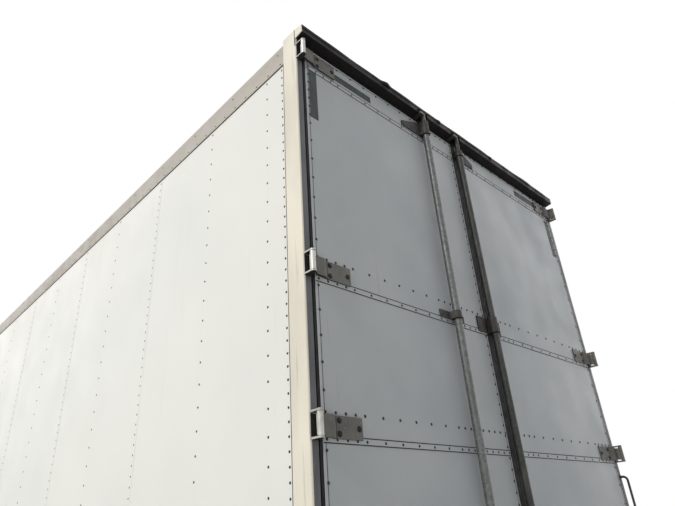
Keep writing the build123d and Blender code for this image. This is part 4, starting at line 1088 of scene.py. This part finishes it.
# Painted shade: black discs where the pin holes of the slide rails are
both(heads, "slide_pin_holes", rivet_rows, row, OUT, 20, 0.9, rubber_and_painted_shade, 20)
# A U-bolt's arch over the spring, across and up from where it springs
U_BOLT_HALF, ARCH_RISE, ARCH_Z, THREAD_Z, NUT_Z = 0.046, 0.022, 0.654, 0.432, 0.446
angles = [math.radians(a) for a in range(0, 181, 20)]
arch = [(U_BOLT_HALF * math.cos(a), ARCH_RISE * math.sin(a)) for a in angles]
saddles, nuts, clamps = [], [], []
for spring_x in (-SPRING_X, SPRING_X):
    for axle_y in AXLE_YS:
        for y in (axle_y - 0.058, axle_y + 0.058):
            over = [(spring_x + dx, y, ARCH_Z + dz) for dx, dz in arch]
            foot, far_foot = ((end[0], y, THREAD_Z) for end in (over[0], over[-1]))
            saddles.append([foot, *over, far_foot])
            nuts += [(spring_x + dx, y, NUT_Z) for dx in (-U_BOLT_HALF, U_BOLT_HALF)]
        for half, low_z, high_z in ((0.066, NUT_Z, 0.46), (0.03, 0.65, 0.668)):
            low = (spring_x - half, axle_y - 0.08, low_z)
            clamps.append((low, (spring_x + half, axle_y + 0.08, high_z)))
bent_bars("spring_u_bolts", VAN, saddles, 9, chassis_enamel)
heads("u_bolt_nuts", bolt_spots, nuts, DOWN, 15, 13, sheet_zinc)
strips("spring_clamp_plates", clamps, chassis_enamel, edge=1.5 * MM)
clamp_profile = ((-8, 80), (-8, 91), (-3, 91), (-3, 86), (3, 86), (3, 91), (8, 91), (8, 80))
for name, hand in SIDES:
    for label, axle_y in zip(("rear", "front"), AXLE_YS):
        chamber = (hand * 0.345, axle_y - 0.15, 0.52)
        clamp = turned_shell("chamber_clamp", clamp_profile, 40, chamber, hand)
        piece(f"chamber_clamp_{label}_{name}", VAN, clamp, sheet_zinc, smooth=False)

# Landing gear: bolts of its mounting plates and gearbox, pins of its feet

LEG_X, LEG_HALF, LEG_Y = 0.915, 0.051, 3.694
bolts = [
    (x + dx, 3.6205 + SUNK, z) for x in (-LEG_X, LEG_X) for dx in (-0.145, 0.145)
    for z in (0.85, 0.94, 1.03, 1.12)
]
heads("leg_mount_bolts", bolt_spots, bolts, REARWARD, 11, 8, chassis_enamel)
bolts = [(-1.0385 + SUNK, LEG_Y + dy, z) for dy in (-0.042, 0.042) for z in (0.8, 0.871, 0.942)]
heads("gearbox_bolts", bolt_spots, bolts, (-1, 0, 0), 7, 5, sheet_zinc)
pin = [(LEG_X + LEG_HALF - SUNK, LEG_Y, 0.14)]
both(heads, "foot_pin", bolt_spots, pin, OUT, 16, 12, greased_steel)

# Nose: rivets of its sheets and bands, bolts and seals of the couplings

nose_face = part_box("front_wall")[1].y
rows = [
    ((x, nose_face - SUNK, 1.34), (x, nose_face - SUNK, 3.94), pitch)
    for x, pitch in ((-1.1, OPEN), (-0.61, DENSE), (0, OPEN), (0.61, DENSE), (1.1, OPEN))
]
heads("nose_rivets", rivet_rows, rows, FORWARD, 4.8, 2.6, rivet_dirt_and_shade_grey, 9)
rows = [
    ((-1.15, front - SUNK, z), (1.15, front - SUNK, z), OPEN) for z in (1.15, 1.3, 3.98, 4.066)
]
heads("nose_band_rivets", rivet_rows, rows, FORWARD, 4.8, 2.4, rivet_dirt_and_shade_grey, 9)
laps = [
    ((x - LAP_HALF * MM, nose_face, 1.32), (x + LAP_HALF * MM, nose_face + 1.2 * MM, 3.958))
    for x in (-0.61, 0.61)
]
strips("nose_laps", laps, nose_wall)
bolts = [(x, front + 6 * MM - SUNK, z) for x in (-0.212, 0.212) for z in (1.18, 1.27)]
heads("coupling_plate_bolts", bolt_spots, bolts, FORWARD, 8, 6, sheet_zinc)
seat = [(0.18 - SUNK, front + 70 * MM, 1.219)]
both(heads, "coupling_seal", dome_spots, seat, OUT, 18, 7, rubber_and_painted_shade, 24)
socket = [(0, front + 84 * MM, 1.225)]
heads("socket_lid", dome_spots, socket, FORWARD, 30, 5.5, forged_steel_and_fold_shade, 24)

# Roof and inside: rivets along the roof's edges, floor screws, kick plates and joint strips

roof_foot = roof_top - SUNK
rows = [
    ((x, frame_front + 0.05, roof_foot), (x, front - 0.08, roof_foot), OPEN)
    for x in (-1.2785, 1.2785)
]
rows += [
    ((-1.2, y, roof_foot), (1.2, y, roof_foot), OPEN) for y in (frame_front + 0.03, front - 0.03)
]
heads("roof_rivets", rivet_rows, rows, UP, 4.8, 2.6, sheet_zinc, 8)
deck_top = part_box("floor")[1].z
screw_foot = deck_top - SUNK
beam_ys = [frame_front + FIRST_BEAM + BEAM_PITCH * i for i in range(36)]
rows = [
    ((-1.14, y, screw_foot), (1.14, y, screw_foot), 0.19) for y in beam_ys if y < wall_front - 0.1
]
heads("floor_screws", rivet_rows, rows, UP, 6.5, 1.0, greased_steel, 8)
LINING_SHEET = 1.2192
lining_face = wall_face - 38 * MM
joints = [
    (
        (lining_face, y - 25 * MM, deck_top + 0.3), (lining_face - 1.2 * MM, y + 25 * MM, 4.05),
    )
    for y in (frame_front + LINING_SHEET * i for i in range(1, 12))
]
both(strips, "lining_joints", joints, sheet_zinc)
kick_low = (lining_face, frame_front + 2 * MM, deck_top)
kick_high = (lining_face - 1.5 * MM, wall_front, deck_top + 0.305)
both(strips, "kick_plate", [(kick_low, kick_high)], sheet_zinc)
kick_half = lining_face - 2 * MM
nose_kick = ((-kick_half, wall_front - 2 * MM, deck_top), (kick_half, wall_front, deck_top + 0.61))
strips("nose_kick_plate", [nose_kick], sheet_zinc)

# Wheels: casings with rounded shoulders, beads and ribs, blocks of tread laid round them, nuts

TREAD_BASE, DUAL_HALF = 507, 171.5
tyre_half_profile = (
    # from the tyre's middle, radius
    *((112, 287), (121, 292), (126, 299)),  # bead
    *((123.5, 305), (131, 332), (133.5, 335), (132.5, 338)),  # rim rib
    *((137.5, 368), (139, 371), (138.5, 374), (139, 405), (138, 420)),  # side wall and its ribs
    *((136.5, 434), (137, 437), (134, 440), (130, 457)),
    *((121, 478), (119, 492), (108, 505), (84, TREAD_BASE)),  # shoulder
)
far_half = [(-x, r) for x, r in reversed(tyre_half_profile)]
tyre_profile = [*tyre_half_profile, (0, TREAD_BASE), *far_half]
tread_blocks = (
    # rib's middle across the tyre, width, blocks round it, share of the pitch that a block
    # fills, height over the casing
    (-91, 33, 62, 0.8, 9.5),
    (-48, 36, 54, 0.86, 11.5),
    (0, 36, 54, 0.88, 12),
    (48, 36, 54, 0.86, 11.5),
    (91, 33, 62, 0.8, 9.5),
)


def tread_seed(centre, hand):
    """The tread's blocks: places, sizes and turns. Ribs outwards of the middle are staggered."""
    points, sizes, turns = [], [], []
    for across, width, count, share, rise in tread_blocks:
        radius = (TREAD_BASE + rise / 2 - 2) * MM
        length = 2 * math.pi * radius / count * share
        x = centre[0] + hand * across * MM
        for i in range(count):
            turn = 2 * math.pi * (i + 0.5 * (across > 0)) / count
            aft, up = radius * math.cos(turn), radius * math.sin(turn)
            points.append((x, centre[1] + aft, centre[2] + up))
            sizes.append((width * MM, length, (rise + 4) * MM))
            turns.append((turn - math.pi / 2, 0, 0))
    return seed(points, size=sizes, turn=turns)


for body in WHEELS:
    hand = LEFT if body.endswith("left") else RIGHT
    low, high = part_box(f"wheel_{body}")
    tyre_low, tyre_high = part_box(f"tyres_{body}")
    middle_x = (tyre_low.x + tyre_high.x) / 2
    middle_y = (low.y + high.y) / 2
    middle_z = (low.z + high.z) / 2
    ride_on = f"{body}_twin_wheel"
    casings = []
    for label, way in (("inner", -1), ("outer", 1)):
        centre = (middle_x + hand * way * DUAL_HALF * MM, middle_y, middle_z)
        skin = turned_shell("tyre_casing", tyre_profile, 96, centre, hand)
        casing = piece(f"tyre_casing_{label}_{body}", ride_on, skin, tyre_compound)
        blocks = tread_seed(centre, hand)
        tread_name = f"tyre_tread_{label}_{body}"
        tread = grow(tread_name, ride_on, tread_tree, blocks, Finish=tyre_compound)
        casings += [casing, tread]
    for made in casings:
        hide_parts(f"tyres_{body}")
    for label, out_x, radius, height, count, ring in (
        # nuts, place outwards, head radius, head height, how many, ring radius
        ("wheel_nuts", 8, 19, 24, 10, 142.9),
        ("hub_flange_bolts", 8, 7, 6, 10, 112),
        ("hub_cap_bolts", 150, 6, 4, 6, 71),
    ):
        foot = (middle_x + hand * (out_x * MM - SUNK), middle_y, middle_z)
        sizes = {"Radius": radius * MM, "Height": height * MM, "Sides": 14, "Count": count}
        sizes |= {"Circle": ring * MM, "Finish": greased_steel}
        grow(f"{label}_{body}", ride_on, bolt_rings, seed([foot], facing=[(hand, 0, 0)]), **sizes)


# Stage: a pale floor under the tyres, an even white surround, three soft lights

REACH, BELOW = 60, -0.001
corners = [(x * REACH, y * REACH, BELOW) for x, y in ((-1, -1), (1, -1), (1, 1), (-1, 1))]
floor_mesh = bpy.data.meshes.new("studio_floor")
floor_mesh.from_pydata(corners, [], [(0, 1, 2, 3)])
studio_floor = linked("studio_floor", floor_mesh)
# Matt studio paint, an even pale grey
floor_paint = start("pale_studio_floor", Roughness=0.9, Base_Color=linear("#d8d8d6"))[0]
floor_mesh.materials.append(floor_paint)

world = bpy.data.worlds.new("studio")
scene.world = world
world.use_nodes = True
world_tree = world.node_tree
world_tree.nodes.clear()
# The view and the gloss see full white; the surround lights the rest softly
rays = add(world_tree, "ShaderNodeLightPath").outputs
seen = calc(world_tree, "MAXIMUM", rays["Is Camera Ray"], rays["Is Glossy Ray"])
seen = calc(world_tree, "MAXIMUM", seen, rays["Is Transmission Ray"])
level = remap(world_tree, seen, To_Min=0.28, To_Max=1.0)
surround = {"Color": (1, 1, 1, 1), "Strength": level}
backdrop = add(world_tree, "ShaderNodeBackground", surround)
add(world_tree, "ShaderNodeOutputWorld", {"Surface": backdrop.outputs[0]})

for name, tilt, turn, strength, angle in (
    # lamp, tilt and turn in degrees, strength, softness in degrees
    ("key", 54, -88, 2.1, 18),
    ("right_fill", 62, 91, 0.8, 60),
    ("front_fill", 60, 170, 0.7, 60),
):
    lamp = bpy.data.lights.new(name, "SUN")
    lamp.energy = strength
    lamp.angle = math.radians(angle)
    linked(name, lamp).rotation_euler = (math.radians(tilt), 0, math.radians(turn))

scene.view_settings.view_transform = "Standard"
